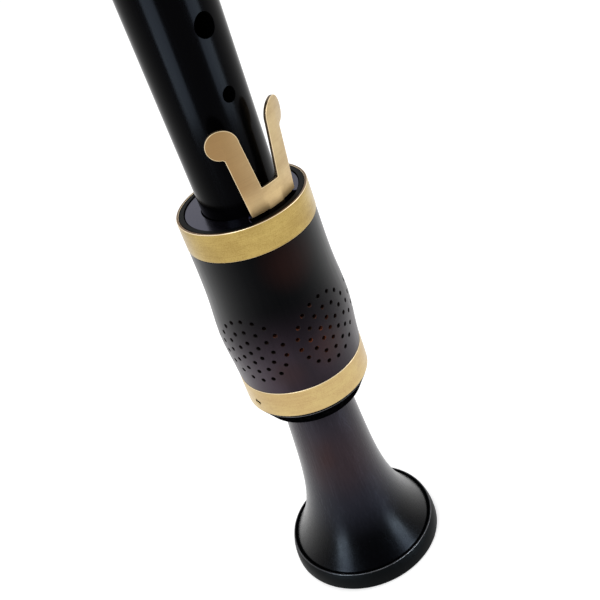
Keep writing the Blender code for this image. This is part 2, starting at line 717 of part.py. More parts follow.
def make_touch(brass):
    pivot = (TOUCH_PIVOT, TOUCH_PIVOT_LEVEL)
    touch = bent_plate("key_touch", touch_outline(), 0.0, TOUCH_THICKNESS, brass, pivot)
    contact = FLAP_PIVOT_LEVEL + FLAP_TAIL
    bend = contact + TOUCH_TAIL_BEND
    half = 0.5 * TOUCH_TAIL_THICKNESS
    tail = [
        (TOUCH_PIVOT - half, TOUCH_PIVOT_LEVEL),
        (TAIL_MIDDLE - half, bend),
        (TAIL_MIDDLE - half, contact - half),
        (TAIL_MIDDLE + 0.3 * half, contact - half),
        (TAIL_MIDDLE + half, contact),
        (TAIL_MIDDLE + half, bend),
        (TOUCH_PIVOT + half, TOUCH_PIVOT_LEVEL),
    ]
    add(touch, knuckle_tool("touch_knuckle", pivot))
    add(touch, prism("touch_tail", tail, TOUCH_TAIL_HALF_WIDTH, None))
    cut(touch, axle_tool("touch_bore", pivot))
    return touch


def knuckle_tool(name, pivot):
    start = front_point(-KNUCKLE_HALF_WIDTH, *pivot)
    end = front_point(KNUCKLE_HALF_WIDTH, *pivot)
    return rod(name, start, end, KNUCKLE_RADIUS, None)


def axle_tool(name, pivot):
    reach = KNUCKLE_HALF_WIDTH + EAR_THICKNESS + 4.0
    start = front_point(-reach, *pivot)
    end = front_point(reach, *pivot)
    return rod(name, start, end, AXLE_RADIUS + RUNNING_GAP, None)


def make_axle(name, pivot, steel):
    reach = KNUCKLE_HALF_WIDTH + REST_GAP + EAR_THICKNESS - 0.2
    return rod(name, front_point(-reach, *pivot), front_point(reach, *pivot), AXLE_RADIUS, steel)


def make_saddle(name, pivot, screws, upper_length, brass):
    """A plate on the key bed with two ears that hold the axle."""
    forward, level = pivot
    foot = KEY_BED + SEAT_GAP
    floor = foot + SADDLE_BASE
    half = KNUCKLE_HALF_WIDTH + REST_GAP + EAR_THICKNESS
    outline = [
        (foot, level - SADDLE_HALF_LENGTH),
        (floor, level - SADDLE_HALF_LENGTH),
        (floor, level - EAR_HALF_LENGTH),
    ]
    rounded = arc(forward, level, KNUCKLE_RADIUS, -60.0, 60.0, 4)
    outline += rounded
    outline += [
        (floor, level + EAR_HALF_LENGTH),
        (floor, level + upper_length),
        (foot, level + upper_length),
    ]
    saddle = prism(name, outline, half, brass, (foot, level))
    gap = box_outline(floor, forward + 9.0, level - 9.0, level + 9.0 + upper_length)
    cut(saddle, prism(name + "_gap", gap, KNUCKLE_HALF_WIDTH + REST_GAP, None))
    cut(saddle, axle_tool(name + "_bore", pivot))
    for index, screw_level in enumerate(screws):
        start = front_point(0.0, foot - 2.0, screw_level)
        end = front_point(0.0, floor + 2.0, screw_level)
        cut(saddle, rod(name + "_drill_" + str(index), start, end, SCREW_RADIUS + 2.0 * SEAT_GAP, None))
    return saddle


def make_screw(name, level, head_seat, body, steel):
    """A slotted cheese-head screw driven into the key bed, and its pilot hole."""
    seat = head_seat + SEAT_GAP
    top = seat + SCREW_HEAD_HEIGHT
    foot = KEY_BED - SCREW_LENGTH
    outline = [
        (0.0, foot),
        (SCREW_RADIUS, foot + 0.8),
        (SCREW_RADIUS, seat),
        (SCREW_HEAD_RADIUS, seat),
        (SCREW_HEAD_RADIUS, top),
        (0.0, top),
    ]
    screw = turned(name, outline, steel, seat, SCREW_SEGMENTS)
    screw.rotation_euler = (math.radians(90.0), 0.0, 0.0)
    screw.location = front_point(0.0, seat, level)
    slot = box_outline(top - 0.4, top + 1.0, level - 0.5 * SCREW_SLOT, level + 0.5 * SCREW_SLOT)
    cut(screw, prism(name + "_slot", slot, SCREW_HEAD_RADIUS + 0.5, None))
    start = front_point(0.0, foot - 0.5, level)
    end = front_point(0.0, KEY_BED + 3.0, level)
    cut(body, rod(name + "_pilot", start, end, SCREW_RADIUS + 2.0 * SEAT_GAP, None, SCREW_SEGMENTS))
    return screw


def make_spring(name, foot_seat, foot_level, direction, tip, brass):
    """A leaf spring, screwed down at its foot and curving up to the lever it lifts."""
    seat = foot_seat + SEAT_GAP
    tip_forward, tip_level = tip
    start_level = foot_level - 1.9 * direction
    bend_level = foot_level + 2.1 * direction
    middle = (0.62 * seat + 0.38 * tip_forward, 0.35 * bend_level + 0.65 * tip_level)
    under = [(seat, start_level), (seat, bend_level), middle, (tip_forward, tip_level)]
    over = [(f + SPRING_THICKNESS, z) for f, z in reversed(under)]
    spring = prism(name, under + over, SPRING_HALF_WIDTH, brass, (seat, foot_level))
    start = front_point(0.0, foot_seat - 1.0, foot_level)
    end = front_point(0.0, foot_seat + 2.0, foot_level)
    cut(spring, rod(name + "_drill", start, end, SCREW_RADIUS + 2.0 * SEAT_GAP, None))
    return spring


def lifted(forward, level):
    """Turns a point of the closed flap about its pivot to where it lies when open."""
    angle = math.radians(FLAP_ANGLE)
    across = forward - FLAP_PIVOT
    along = level - FLAP_PIVOT_LEVEL
    return (
        FLAP_PIVOT + across * math.cos(angle) - along * math.sin(angle),
        FLAP_PIVOT_LEVEL + across * math.sin(angle) + along * math.cos(angle),
    )


def make_flap(brass, leather):
    """The flap with its pad cup, held open, and the leather pad."""
    pivot = (FLAP_PIVOT, FLAP_PIVOT_LEVEL)
    arm_foot = TONE_HOLE_LEVEL - 0.5 * PAD_RADIUS
    arm = [
        lifted(CUP_FLOOR, FLAP_PIVOT_LEVEL),
        lifted(CUP_FLOOR + 0.1, arm_foot),
        lifted(CUP_TOP - 0.1, arm_foot),
        lifted(CUP_TOP, FLAP_PIVOT_LEVEL),
    ]
    flap = prism("key_flap", arm, FLAP_ARM_HALF_WIDTH, brass, pivot)
    contact = TAIL_TOP + REST_GAP
    tail_top = FLAP_PIVOT_LEVEL + FLAP_TAIL + 2.0
    tail = box_outline(contact, contact + FLAP_THICKNESS, FLAP_PIVOT_LEVEL, tail_top)
    add(flap, prism("flap_tail", tail, FLAP_HALF_WIDTH, None))
    add(flap, knuckle_tool("flap_knuckle", pivot))
    cup_radius = PAD_RADIUS + SEAT_GAP + CUP_WALL
    cup = [
        (0.0, CUP_FLOOR),
        (PAD_RADIUS + SEAT_GAP, CUP_FLOOR),
        (PAD_RADIUS + SEAT_GAP, CUP_FLOOR - CUP_RIM),
        (cup_radius, CUP_FLOOR - CUP_RIM),
        (cup_radius, CUP_TOP - 0.6 * CUP_EDGE),
        (cup_radius - CUP_EDGE, CUP_TOP),
        (0.0, CUP_TOP),
    ]
    pad = [
        (0.0, PAD_FACE),
        (PAD_RADIUS - PAD_EDGE, PAD_FACE),
        (PAD_RADIUS, PAD_FACE + PAD_EDGE),
        (PAD_RADIUS, PAD_FACE + PAD_THICKNESS),
        (0.0, PAD_FACE + PAD_THICKNESS),
    ]
    cup_tool = turned("flap_cup", cup, None, PAD_FACE, 24)
    pad_piece = turned("key_pad", pad, leather, PAD_FACE, 20)
    for piece in (cup_tool, pad_piece):
        piece.rotation_euler = (math.radians(90.0 - FLAP_ANGLE), 0.0, 0.0)
        piece.location = front_point(0.0, *lifted(PAD_FACE, TONE_HOLE_LEVEL))
    add(flap, cup_tool)
    cut(flap, axle_tool("flap_bore", pivot))
    return flap, pad_piece


def make_head(wood):
    socket = HEAD_TENON_RADIUS + CORK_PROUD + REST_GAP
    socket_floor = BODY_END + REST_GAP
    ring_seat = HEAD_SOCKET_RADIUS - RING_WALL - REST_GAP
    ring_top = HEAD_FOOT + HEAD_RING_HEIGHT + REST_GAP
    outline = [
        (socket, HEAD_FOOT),
        (ring_seat, HEAD_FOOT),
        (ring_seat, ring_top),
        (HEAD_SOCKET_RADIUS - WOOD_BELOW_RING, ring_top),
        (HEAD_SOCKET_RADIUS - HEAD_SOCKET_SLOPE, socket_floor + HEAD_SHOULDER_HEIGHT),
        (HEAD_TOP_RADIUS + 1.0, socket_floor + HEAD_TAPER_HEIGHT),
        (HEAD_TOP_RADIUS, HEAD_SHOULDER),
        (CAP_TENON_RADIUS, HEAD_SHOULDER),
    ]
    outline += cork_groove(CAP_TENON_RADIUS, CAP_CORK)
    outline += [
        (CAP_TENON_RADIUS, HEAD_END),
        (BORE_HEAD_RADIUS, HEAD_END),
        (BORE_HEAD_RADIUS, socket_floor),
        (socket, socket_floor),
    ]
    head = turned("head_joint", outline, wood, HEAD_FOOT)
    edge = BORE_HEAD_RADIUS + LABIUM_STEP
    inside = BORE_HEAD_RADIUS - CUTTER_REACH
    outside = HEAD_SOCKET_RADIUS + CUTTER_REACH
    ramp_foot = LABIUM - LABIUM_LENGTH
    window = [
        (inside, WINDOW_TOP),
        (outside, WINDOW_TOP),
        (outside, ramp_foot),
        (HEAD_TOP_RADIUS + 1.6, ramp_foot),
        (edge, LABIUM),
        (inside, LABIUM),
    ]
    cut(head, prism("window_cutter", window, 0.5 * WINDOW_WIDTH, None))
    roof = BORE_HEAD_RADIUS - WINDWAY_STEP + WINDWAY_HEIGHT
    windway = box_outline(inside, roof, WINDOW_TOP - 2.0, HEAD_END + 2.0)
    cut(head, prism("windway_cutter", windway, 0.5 * WINDOW_WIDTH, None))
    return head


def make_block(wood):
    """The cedar block, whose raised flat is the windway's floor."""
    radius = BORE_HEAD_RADIUS - REST_GAP
    low = WINDOW_TOP + REST_GAP
    high = HEAD_END - REST_GAP
    outline = [(0.0, low), (radius, low), (radius, high), (0.0, high)]
    block = turned("block", outline, wood, low)
    floor = BORE_HEAD_RADIUS - WINDWAY_STEP
    plateau = box_outline(BLOCK_FLOOR, floor, low, high)
    add(block, prism("block_floor", plateau, 0.5 * WINDOW_WIDTH - REST_GAP, None))
    return block


def make_cap(wood, brass):
    bore = CAP_TENON_RADIUS + CORK_PROUD + REST_GAP
    outer = HEAD_TOP_RADIUS + CAP_PROUD
    seat = outer - RING_WALL - REST_GAP
    ring_top = CAP_FOOT + CAP_RING_HEIGHT + REST_GAP
    cavity_top = CAP_FOOT + CAP_CAVITY_HEIGHT
    dome_foot = CAP_FOOT + CAP_LENGTH - CAP_KNOB_HEIGHT - CAP_DOME_HEIGHT
    knob_foot = dome_foot + CAP_DOME_HEIGHT
    bead = outer + CAP_BEAD
    outline = [
        (0.0, cavity_top),
        (bore, cavity_top),
        (bore, CAP_FOOT),
        (seat, CAP_FOOT),
        (seat, ring_top),
        (outer - WOOD_BELOW_RING, ring_top),
        (outer - CAP_WAIST_DEPTH, CAP_FOOT + 0.45 * CAP_LENGTH),
        (outer - CAP_BEAD, dome_foot - CAP_BEAD_HEIGHT),
        (bead, dome_foot - 0.375 * CAP_BEAD_HEIGHT),
        (bead, dome_foot),
        (outer - 2.0 * CAP_BEAD, dome_foot + 0.35 * CAP_DOME_HEIGHT),
        (0.62 * outer, dome_foot + 0.78 * CAP_DOME_HEIGHT),
        (0.55 * CAP_KNOB_RADIUS, knob_foot),
        (CAP_KNOB_RADIUS, knob_foot + 0.45 * CAP_KNOB_HEIGHT),
        (0.6 * CAP_KNOB_RADIUS, knob_foot + 0.92 * CAP_KNOB_HEIGHT),
        (0.0, knob_foot + CAP_KNOB_HEIGHT),
    ]
    shell = turned("cap", outline, wood, CAP_FOOT)
    level = CAP_FOOT + BLOW_HOLE_HEIGHT
    start = front_point(0.0, -bore + CUTTER_REACH, level)
    end = front_point(0.0, -outer - CUTTER_REACH, level)
    cut(shell, rod("blow_hole_drill", start, end, BLOW_HOLE_RADIUS, None))
    ring = turned(
        "cap_ring",
        bevelled_ring(outer - RING_WALL, outer, outer, CAP_FOOT, CAP_FOOT + CAP_RING_HEIGHT, RING_EDGE),
        brass,
        CAP_FOOT,
    )
    return shell, ring


def make_head_ring(brass):
    radius = HEAD_SOCKET_RADIUS
    top = HEAD_FOOT + HEAD_RING_HEIGHT
    outline = bevelled_ring(radius - RING_WALL, radius, radius, HEAD_FOOT, top, RING_EDGE)
    return turned("head_ring", outline, brass, HEAD_FOOT)


def build():
    for old in list(bpy.data.objects):
        bpy.data.objects.remove(old, do_unlink=True)
    stained = finish("stained_wood", (0.022, 0.016, 0.015), 0.32)
    dark_disc = finish("disc_wood", (0.045, 0.040, 0.046), 0.55)
    cedar = finish("cedar", (0.46, 0.24, 0.13), 0.6)
    brass = finish("brass", (0.72, 0.50, 0.22), 0.3, 1.0)
    spring_brass = finish("spring_brass", (0.66, 0.48, 0.25), 0.35, 1.0)
    steel = finish("steel", (0.45, 0.45, 0.46), 0.35, 1.0)
    cork = finish("cork", (0.50, 0.32, 0.18), 0.85)
    leather = finish("pad_leather", (0.70, 0.58, 0.42), 0.8)

    make_foot(stained)

    body_axis = carrier("body_carrier", (0.0, 0.0, BODY_FOOT * MM))
    body = make_body(stained)
    drill_finger_holes(body)
    cut_key_bed(body)
    lower_cork = make_cork("foot_tenon_cork", FOOT_TENON_RADIUS, TENON_FOOT + CORK_INSET, cork)
    upper_cork = make_cork("head_tenon_cork", HEAD_TENON_RADIUS, BODY_HEAD + CORK_INSET, cork)
    barrel = make_fontanelle(stained)
    upper_ring, lower_ring = make_rings(brass)
    ring_screw = make_ring_screw(barrel, lower_ring, brass)
    disc = make_disc(dark_disc)

    touch_pivot = (TOUCH_PIVOT, TOUCH_PIVOT_LEVEL)
    flap_pivot = (FLAP_PIVOT, FLAP_PIVOT_LEVEL)
    reach = SADDLE_SCREW_REACH
    touch_screws = (TOUCH_PIVOT_LEVEL - reach, TOUCH_PIVOT_LEVEL + reach)
    flap_screws = (FLAP_PIVOT_LEVEL - reach, FLAP_PIVOT_LEVEL + reach)
    touch_saddle = make_saddle("touch_saddle", touch_pivot, touch_screws, SADDLE_HALF_LENGTH, brass)
    flap_saddle = make_saddle("flap_saddle", flap_pivot, flap_screws, SADDLE_STOP_LENGTH, brass)
    touch_axle = make_axle("touch_axle", touch_pivot, steel)
    flap_axle = make_axle("flap_axle", flap_pivot, steel)
    spring_top = SADDLE_TOP + SEAT_GAP + SPRING_THICKNESS
    arm_back = lifted(CUP_FLOOR, FLAP_PIVOT_LEVEL - SPRING_REACH)
    spring_tip = (arm_back[0] - SPRING_THICKNESS - REST_GAP, arm_back[1])
    flap_spring = make_spring("flap_spring", SADDLE_TOP, flap_screws[0], -1.0, spring_tip, spring_brass)
    screws = [
        make_screw("touch_screw_lower", touch_screws[0], SADDLE_TOP, body, steel),
        make_screw("touch_screw_upper", touch_screws[1], SADDLE_TOP, body, steel),
        make_screw("flap_screw_lower", flap_screws[0], spring_top, body, steel),
        make_screw("flap_screw_upper", flap_screws[1], SADDLE_TOP, body, steel),
    ]

    touch = make_touch(brass)
    flap, pad = make_flap(brass, leather)

    head_axis = carrier("head_carrier", (0.0, 0.0, HEAD_FOOT * MM))
    head = make_head(stained)
    head_ring = make_head_ring(brass)
    block = make_block(cedar)
    cap_cork = make_cork("cap_tenon_cork", CAP_TENON_RADIUS, CAP_CORK, cork)

    cap_axis = carrier("cap_carrier", (0.0, 0.0, CAP_FOOT * MM))
    cap, cap_ring = make_cap(stained, brass)

    touch_axis = carrier("touch_pivot", front_point(0.0, *touch_pivot))
    flap_axis = carrier("flap_pivot", front_point(0.0, *flap_pivot))
    bpy.context.view_layer.update()
    hang(body_axis, body, lower_cork, upper_cork, barrel, upper_ring, lower_ring, ring_screw, disc)
    hang(body_axis, touch_saddle, flap_saddle, touch_axle, flap_axle, flap_spring, *screws)
    hang(touch_axis, touch)
    hang(flap_axis, flap, pad)
    hang(head_axis, head, head_ring, block, cap_cork)
    hang(cap_axis, cap, cap_ring)
    hang(body_axis, head_axis, touch_axis, flap_axis)
    hang(head_axis, cap_axis)
    bpy.context.view_layer.update()


build()
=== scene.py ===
"""Looks of the bass recorder: its turned wood, brass, key, leather, cork and cedar."""
import math

import bmesh
import bpy
from mathutils import Matrix, Vector


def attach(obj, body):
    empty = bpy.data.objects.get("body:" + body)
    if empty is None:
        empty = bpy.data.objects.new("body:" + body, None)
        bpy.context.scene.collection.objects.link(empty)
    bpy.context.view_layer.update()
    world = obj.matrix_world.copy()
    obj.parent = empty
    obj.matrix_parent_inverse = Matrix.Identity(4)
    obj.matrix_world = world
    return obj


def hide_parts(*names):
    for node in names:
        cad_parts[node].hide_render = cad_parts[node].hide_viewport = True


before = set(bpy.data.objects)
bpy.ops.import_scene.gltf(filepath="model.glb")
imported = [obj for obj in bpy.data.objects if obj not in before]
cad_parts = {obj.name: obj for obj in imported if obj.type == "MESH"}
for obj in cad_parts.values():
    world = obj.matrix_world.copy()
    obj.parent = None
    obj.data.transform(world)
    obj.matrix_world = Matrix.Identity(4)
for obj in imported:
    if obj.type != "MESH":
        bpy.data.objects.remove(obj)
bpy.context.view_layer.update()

# Foot joint
# The lowest piece, turned from one billet of maple: bell, neck, collar, spigot and socket.
# It is stained nearly black, and the stain lets some red-brown through on the neck.
MM = 0.001
ROUND_STEPS = 144
BELL_RADIUS = 41.4
BELL_BAND = 9.6
BELL_BAND_TOP_RADIUS = 38.9
BELL_GROOVE = 0.5
BELL_EDGE = 1.6
BELL_RIM_RADIUS = 40.0
BELL_RIM_LEVEL = 10.9
BELL_RIM_ROUND = 0.4
BELL_LENGTH = 109.6
BELL_MOUTH_RADIUS = 33.0
NECK_RADIUS = 17.8
NECK_SWELL = 5.3
FLARE_POWER = 4.8
MOUTH_POWER = 3.2
COLLAR_TOP = 119.2
COLLAR_RADIUS = 30.4
COLLAR_BAND = 1.6
COLLAR_WAIST = 25.6
SPIGOT_RADIUS = 26.3
SPIGOT_TOP = 125.2
FOOT_SOCKET_RADIUS = 15.2
FOOT_SOCKET_OUTSIDE = 20.2
FOOT_SOCKET_FLOOR = 112.4
FOOT_TOP = 140.2
FOOT_BORE_RADIUS = 10.0
OIL_IOR = 1.5
OIL_TINT = (0.022, 0.022, 0.028, 1.0)
FOOT_ROUGHNESS = 0.26
STAIN_BLACK = (0.0004, 0.0005, 0.0007, 1.0)
# A bluish gray painted on the bell's stain as a sheen.
BELL_SHEEN_BLUE = (0.0120, 0.0128, 0.0195, 1.0)
BAND_IOR = 1.12
BAND_TINT = (0.85, 0.95, 1.0, 1.0)
BAND_ROUGHNESS = 0.42
NECK_BROWN = (0.0400, 0.0305, 0.0400, 1.0)
NECK_RED = (0.040, 0.018, 0.017, 1.0)
NECK_RED_PLACE = (-28.0, 74.0, 19.0, 29.0)
COLLAR_DUST = (0.0030, 0.0028, 0.0034, 1.0)
# Two grays for a painted highlight on the turned edges.
EDGE_HIGHLIGHT_GRAY = (0.088, 0.086, 0.092, 1.0)
EDGE_HIGHLIGHT_DIM = (0.022, 0.021, 0.025, 1.0)


def finished_mesh(name, mesh_data, sharp=32.0):
    """An object at the world's origin, smooth up to the given edge angle."""
    bmesh.ops.recalc_face_normals(mesh_data, faces=mesh_data.faces)
    mesh = bpy.data.meshes.new(name)
    mesh_data.to_mesh(mesh)
    mesh_data.free()
    mesh.shade_smooth()
    mesh.set_sharp_from_angle(angle=math.radians(sharp))
    piece = bpy.data.objects.new(name, mesh)
    bpy.context.scene.collection.objects.link(piece)
    return piece


def lathe(name, outline, steps=ROUND_STEPS):
    """Turns a closed outline of (radius, level) points in millimetres about the bore."""
    mesh_data = bmesh.new()
    points = [mesh_data.verts.new((r * MM, 0.0, z * MM)) for r, z in outline]
    pairs = list(zip(points, points[1:]))
    if outline[0][0] > 0.0 or outline[-1][0] > 0.0:
        pairs.append((points[-1], points[0]))
    edges = [mesh_data.edges.new(pair) for pair in pairs]
    bmesh.ops.spin(
        mesh_data,
        geom=points + edges,
        cent=(0.0, 0.0, 0.0),
        axis=(0.0, 0.0, 1.0),
        angle=math.tau,
        steps=steps,
        use_merge=True,
    )
    bmesh.ops.remove_doubles(mesh_data, verts=mesh_data.verts, dist=1e-7)
    return finished_mesh(name, mesh_data)


def corner(center_r, center_z, radius, start, end, steps=5):
    """Points round a turned corner, angles in degrees from straight out."""
    points = []
    for step in range(steps + 1):
        angle = math.radians(start + (end - start) * step / steps)
        points.append((center_r + radius * math.cos(angle), center_z + radius * math.sin(angle)))
    return points


def bell_flare(level):
    """Outside radius of the bell and neck at a level above its band."""
    share = (level - BELL_BAND) / (BELL_LENGTH - BELL_BAND)
    left = 1.0 - max(share, 0.0)
    return NECK_RADIUS + NECK_SWELL * left + (BELL_BAND_TOP_RADIUS - NECK_RADIUS - NECK_SWELL) * left ** FLARE_POWER


def make_foot():
    low_edge = corner(BELL_RADIUS - BELL_EDGE, BELL_EDGE, BELL_EDGE, -90.0, 0.0, 8)
    outline = [(BELL_MOUTH_RADIUS + 1.2, 0.0)] + low_edge
    side_top = BELL_RIM_LEVEL - BELL_RIM_ROUND
    for step in range(1, 13):
        share = step / 12.0
        radius = BELL_RADIUS - (BELL_RADIUS - BELL_RIM_RADIUS - 0.1) * share ** 2.6
        outline.append((radius, BELL_EDGE + (side_top - BELL_EDGE) * share))
    outline += corner(BELL_RIM_RADIUS - 0.3, side_top, BELL_RIM_ROUND, 20.0, 150.0, 6)
    groove_radius = BELL_BAND_TOP_RADIUS - 1.0
    outline += [(groove_radius + 0.2, BELL_BAND - 0.15), (groove_radius - 0.05, BELL_BAND + 0.3)]
    flare_foot = BELL_BAND + BELL_GROOVE
    for step in range(49):
        share = (step / 48.0) ** 1.35
        level = flare_foot + share * (BELL_LENGTH - flare_foot)
        edge = 0.35 * math.exp(-(level - flare_foot) / 0.35)
        outline.append((bell_flare(level) - edge, level))
    outline += [
        (COLLAR_WAIST - 0.15, BELL_LENGTH),
        (COLLAR_WAIST, BELL_LENGTH + 0.15),
        (COLLAR_RADIUS - 0.4, COLLAR_TOP - COLLAR_BAND - 0.4),
        (COLLAR_RADIUS - 0.4, COLLAR_TOP - COLLAR_BAND),
    ]
    outline += corner(COLLAR_RADIUS - 0.25, COLLAR_TOP - COLLAR_BAND + 0.25, 0.25, -90.0, 0.0, 3)
    outline += [(COLLAR_RADIUS, COLLAR_TOP - COLLAR_BAND + 0.5)]
    outline += corner(COLLAR_RADIUS - 0.25, COLLAR_TOP - 0.25, 0.25, 0.0, 90.0, 3)
    outline += [
        (SPIGOT_RADIUS, COLLAR_TOP),
        (SPIGOT_RADIUS, SPIGOT_TOP),
        (FOOT_SOCKET_OUTSIDE, SPIGOT_TOP),
        (FOOT_SOCKET_OUTSIDE, FOOT_TOP),
        (FOOT_SOCKET_RADIUS, FOOT_TOP),
        (FOOT_SOCKET_RADIUS, FOOT_SOCKET_FLOOR),
    ]
    bore_steps = 24
    for step in range(bore_steps):
        level = FOOT_SOCKET_FLOOR * (1.0 - step / bore_steps) ** 1.4
        wide = (1.0 - level / FOOT_SOCKET_FLOOR) ** MOUTH_POWER
        outline.append((FOOT_BORE_RADIUS + (BELL_MOUTH_RADIUS - FOOT_BORE_RADIUS) * wide, level))
    outline.append((BELL_MOUTH_RADIUS, 0.9))
    return lathe("bell_and_foot", outline)


def start_group(name, inputs, outputs):
    """An empty shader node group with its sockets, and its input and output nodes."""
    tree = bpy.data.node_groups.new(name, "ShaderNodeTree")
    for label, kind, value in inputs:
        socket = tree.interface.new_socket(label, in_out="INPUT", socket_type=kind)
        socket.default_value = value
    for label, kind in outputs:
        tree.interface.new_socket(label, in_out="OUTPUT", socket_type=kind)
    return tree, tree.nodes.new("NodeGroupInput"), tree.nodes.new("NodeGroupOutput")


def stretched_noise(tree, stretch, detail, roughness=0.5):
    """Noise in the piece's own space, at its own frequency along each axis, in cycles a metre."""
    place = tree.nodes.new("ShaderNodeTexCoord")
    mapping = tree.nodes.new("ShaderNodeMapping")
    mapping.inputs["Scale"].default_value = stretch
    noise = tree.nodes.new("ShaderNodeTexNoise")
    noise.inputs["Scale"].default_value = 1.0
    noise.inputs["Detail"].default_value = detail
    noise.inputs["Roughness"].default_value = roughness
    tree.links.new(place.outputs["Object"], mapping.inputs["Vector"])
    tree.links.new(mapping.outputs["Vector"], noise.inputs["Vector"])
    return noise.outputs["Fac"]


def value_range(tree, value, low, high, to_low, to_high):
    """A value carried from one range to another, smooth at both ends."""
    ramp = tree.nodes.new("ShaderNodeMapRange")
    ramp.interpolation_type = "SMOOTHSTEP"
    ramp.inputs["From Min"].default_value = low
    ramp.inputs["From Max"].default_value = high
    ramp.inputs["To Min"].default_value = to_low
    ramp.inputs["To Max"].default_value = to_high
    tree.links.new(value, ramp.inputs["Value"])
    return ramp.outputs["Result"]


def blend_colors(tree, share, first, second, mode="MIX"):
    """A colour between two, which are sockets or plain colours."""
    mix = tree.nodes.new("ShaderNodeMix")
    mix.data_type = "RGBA"
    mix.blend_type = mode
    for socket, value in ((mix.inputs[0], share), (mix.inputs[6], first), (mix.inputs[7], second)):
        if isinstance(value, bpy.types.NodeSocket):
            tree.links.new(value, socket)
        else:
            socket.default_value = value
    return mix.outputs[2]


def calculate(tree, operation, first, second):
    """One step of arithmetic on sockets or numbers."""
    step = tree.nodes.new("ShaderNodeMath")
    step.operation = operation
    for socket, value in zip(step.inputs, (first, second)):
        if isinstance(value, bpy.types.NodeSocket):
            tree.links.new(value, socket)
        else:
            socket.default_value = value
    return step.outputs[0]


def make_wood_figure():
    """Clouds of stain and fine grain along the bore."""
    tree, given, result = start_group(
        "wood figure",
        [
            ("Stain", "NodeSocketColor", STAIN_BLACK),
            ("Wood", "NodeSocketColor", NECK_BROWN),
            ("Red", "NodeSocketColor", NECK_RED),
            ("Wear", "NodeSocketFloat", 0.0),
            ("Redness", "NodeSocketFloat", 0.3),
        ],
        [("Color", "NodeSocketColor"), ("Roughness", "NodeSocketFloat"), ("Height", "NodeSocketFloat")],
    )
    clouds = value_range(tree, stretched_noise(tree, (26.0, 26.0, 11.0), 3.0), 0.36, 0.66, 0.0, 1.0)
    patches = value_range(tree, stretched_noise(tree, (41.0, 41.0, 24.0), 2.0), 0.50, 0.72, 0.0, 1.0)
    grain = stretched_noise(tree, (620.0, 620.0, 26.0), 4.0, 0.6)
    pores = value_range(tree, stretched_noise(tree, (2600.0, 2600.0, 120.0), 2.0), 0.60, 0.74, 0.0, 1.0)
    thin = calculate(tree, "MULTIPLY", clouds, 0.6)
    thin = calculate(tree, "ADD", thin, 0.4)
    thin = calculate(tree, "MULTIPLY", thin, given.outputs["Wear"])
    color = blend_colors(tree, thin, given.outputs["Stain"], given.outputs["Wood"])
    red = calculate(tree, "ADD", calculate(tree, "MULTIPLY", patches, 0.6), 0.4)
    red = calculate(tree, "MULTIPLY", red, given.outputs["Redness"])
    color = blend_colors(tree, red, color, given.outputs["Red"])
    shade = value_range(tree, grain, 0.30, 0.70, 0.94, 1.05)
    gray = tree.nodes.new("ShaderNodeCombineColor")
    for index in range(3):
        tree.links.new(shade, gray.inputs[index])
    color = blend_colors(tree, 1.0, color, gray.outputs[0], "MULTIPLY")
    tree.links.new(color, result.inputs["Color"])
    rough = value_range(tree, grain, 0.25, 0.75, -0.03, 0.04)
    tree.links.new(rough, result.inputs["Roughness"])
    height = calculate(tree, "MULTIPLY", grain, 0.35)
    height = calculate(tree, "SUBTRACT", height, pores)
    tree.links.new(height, result.inputs["Height"])
    return tree


wood_figure = make_wood_figure()


def level_mask(tree, low, high, to_low, to_high):
    """A value that changes with the level along the bore, given in millimetres."""
    place = tree.nodes.new("ShaderNodeTexCoord")
    split = tree.nodes.new("ShaderNodeSeparateXYZ")
    tree.links.new(place.outputs["Object"], split.inputs["Vector"])
    return value_range(tree, split.outputs["Z"], low * MM, high * MM, to_low, to_high)


def new_material(name):
    """A material with its node tree and its Principled BSDF."""
    material = bpy.data.materials.new(name)
    material.use_nodes = True
    tree = material.node_tree
    return material, tree, tree.nodes["Principled BSDF"]


def add_bump(tree, shader, height, strength, distance):
    bump = tree.nodes.new("ShaderNodeBump")
    bump.inputs["Strength"].default_value = strength
    bump.inputs["Distance"].default_value = distance
    tree.links.new(height, bump.inputs["Height"])
    tree.links.new(bump.outputs["Normal"], shader.inputs["Normal"])


def rubbed_place(tree, azimuth, level, radius, reach):
    """1 at a place on a turned surface, fading to 0 at its reach. Azimuth 0 is the front."""
    turn = math.radians(azimuth)
    place = tree.nodes.new("ShaderNodeTexCoord")
    away = tree.nodes.new("ShaderNodeVectorMath")
    away.operation = "DISTANCE"
    tree.links.new(place.outputs["Object"], away.inputs[0])
    away.inputs[1].default_value = (radius * MM * math.sin(turn), -radius * MM * math.cos(turn), level * MM)
    return value_range(tree, away.outputs["Value"], 0.15 * reach * MM, reach * MM, 1.0, 0.0)


def stained_wood(name, wood, red, roughness, wear, redness, ior=OIL_IOR, tint=OIL_TINT, painted_sheen=None):
    """Stained and oiled maple, with a gloss that is faint face on and full at the rims.

    Wear and redness are numbers, or functions that add nodes for them. A painted sheen adds a colour to the stain.
    """
    material, tree, shader = new_material(name)
    figure = tree.nodes.new("ShaderNodeGroup")
    figure.node_tree = wood_figure
    figure.inputs["Stain"].default_value = STAIN_BLACK
    figure.inputs["Wood"].default_value = wood
    figure.inputs["Red"].default_value = red
    for label, amount in (("Wear", wear), ("Redness", redness)):
        if callable(amount):
            tree.links.new(amount(tree), figure.inputs[label])
        else:
            figure.inputs[label].default_value = amount
    if painted_sheen:
        tree.links.new(painted_sheen(tree), figure.inputs["Stain"])
    tree.links.new(figure.outputs["Color"], shader.inputs["Base Color"])
    rough = calculate(tree, "ADD", figure.outputs["Roughness"], roughness)
    tree.links.new(rough, shader.inputs["Roughness"])
    shader.inputs["IOR"].default_value = ior
    shader.inputs["Specular Tint"].default_value = tint
    add_bump(tree, shader, figure.outputs["Height"], 0.05, 0.00005)
    return material


def bell_painted_sheen(tree):
    """A painted bluish gray sheen on the upper part of the bell, mixed into its stain."""
    return blend_colors(tree, level_mask(tree, 22.0, 46.0, 0.0, 1.0), STAIN_BLACK, BELL_SHEEN_BLUE)


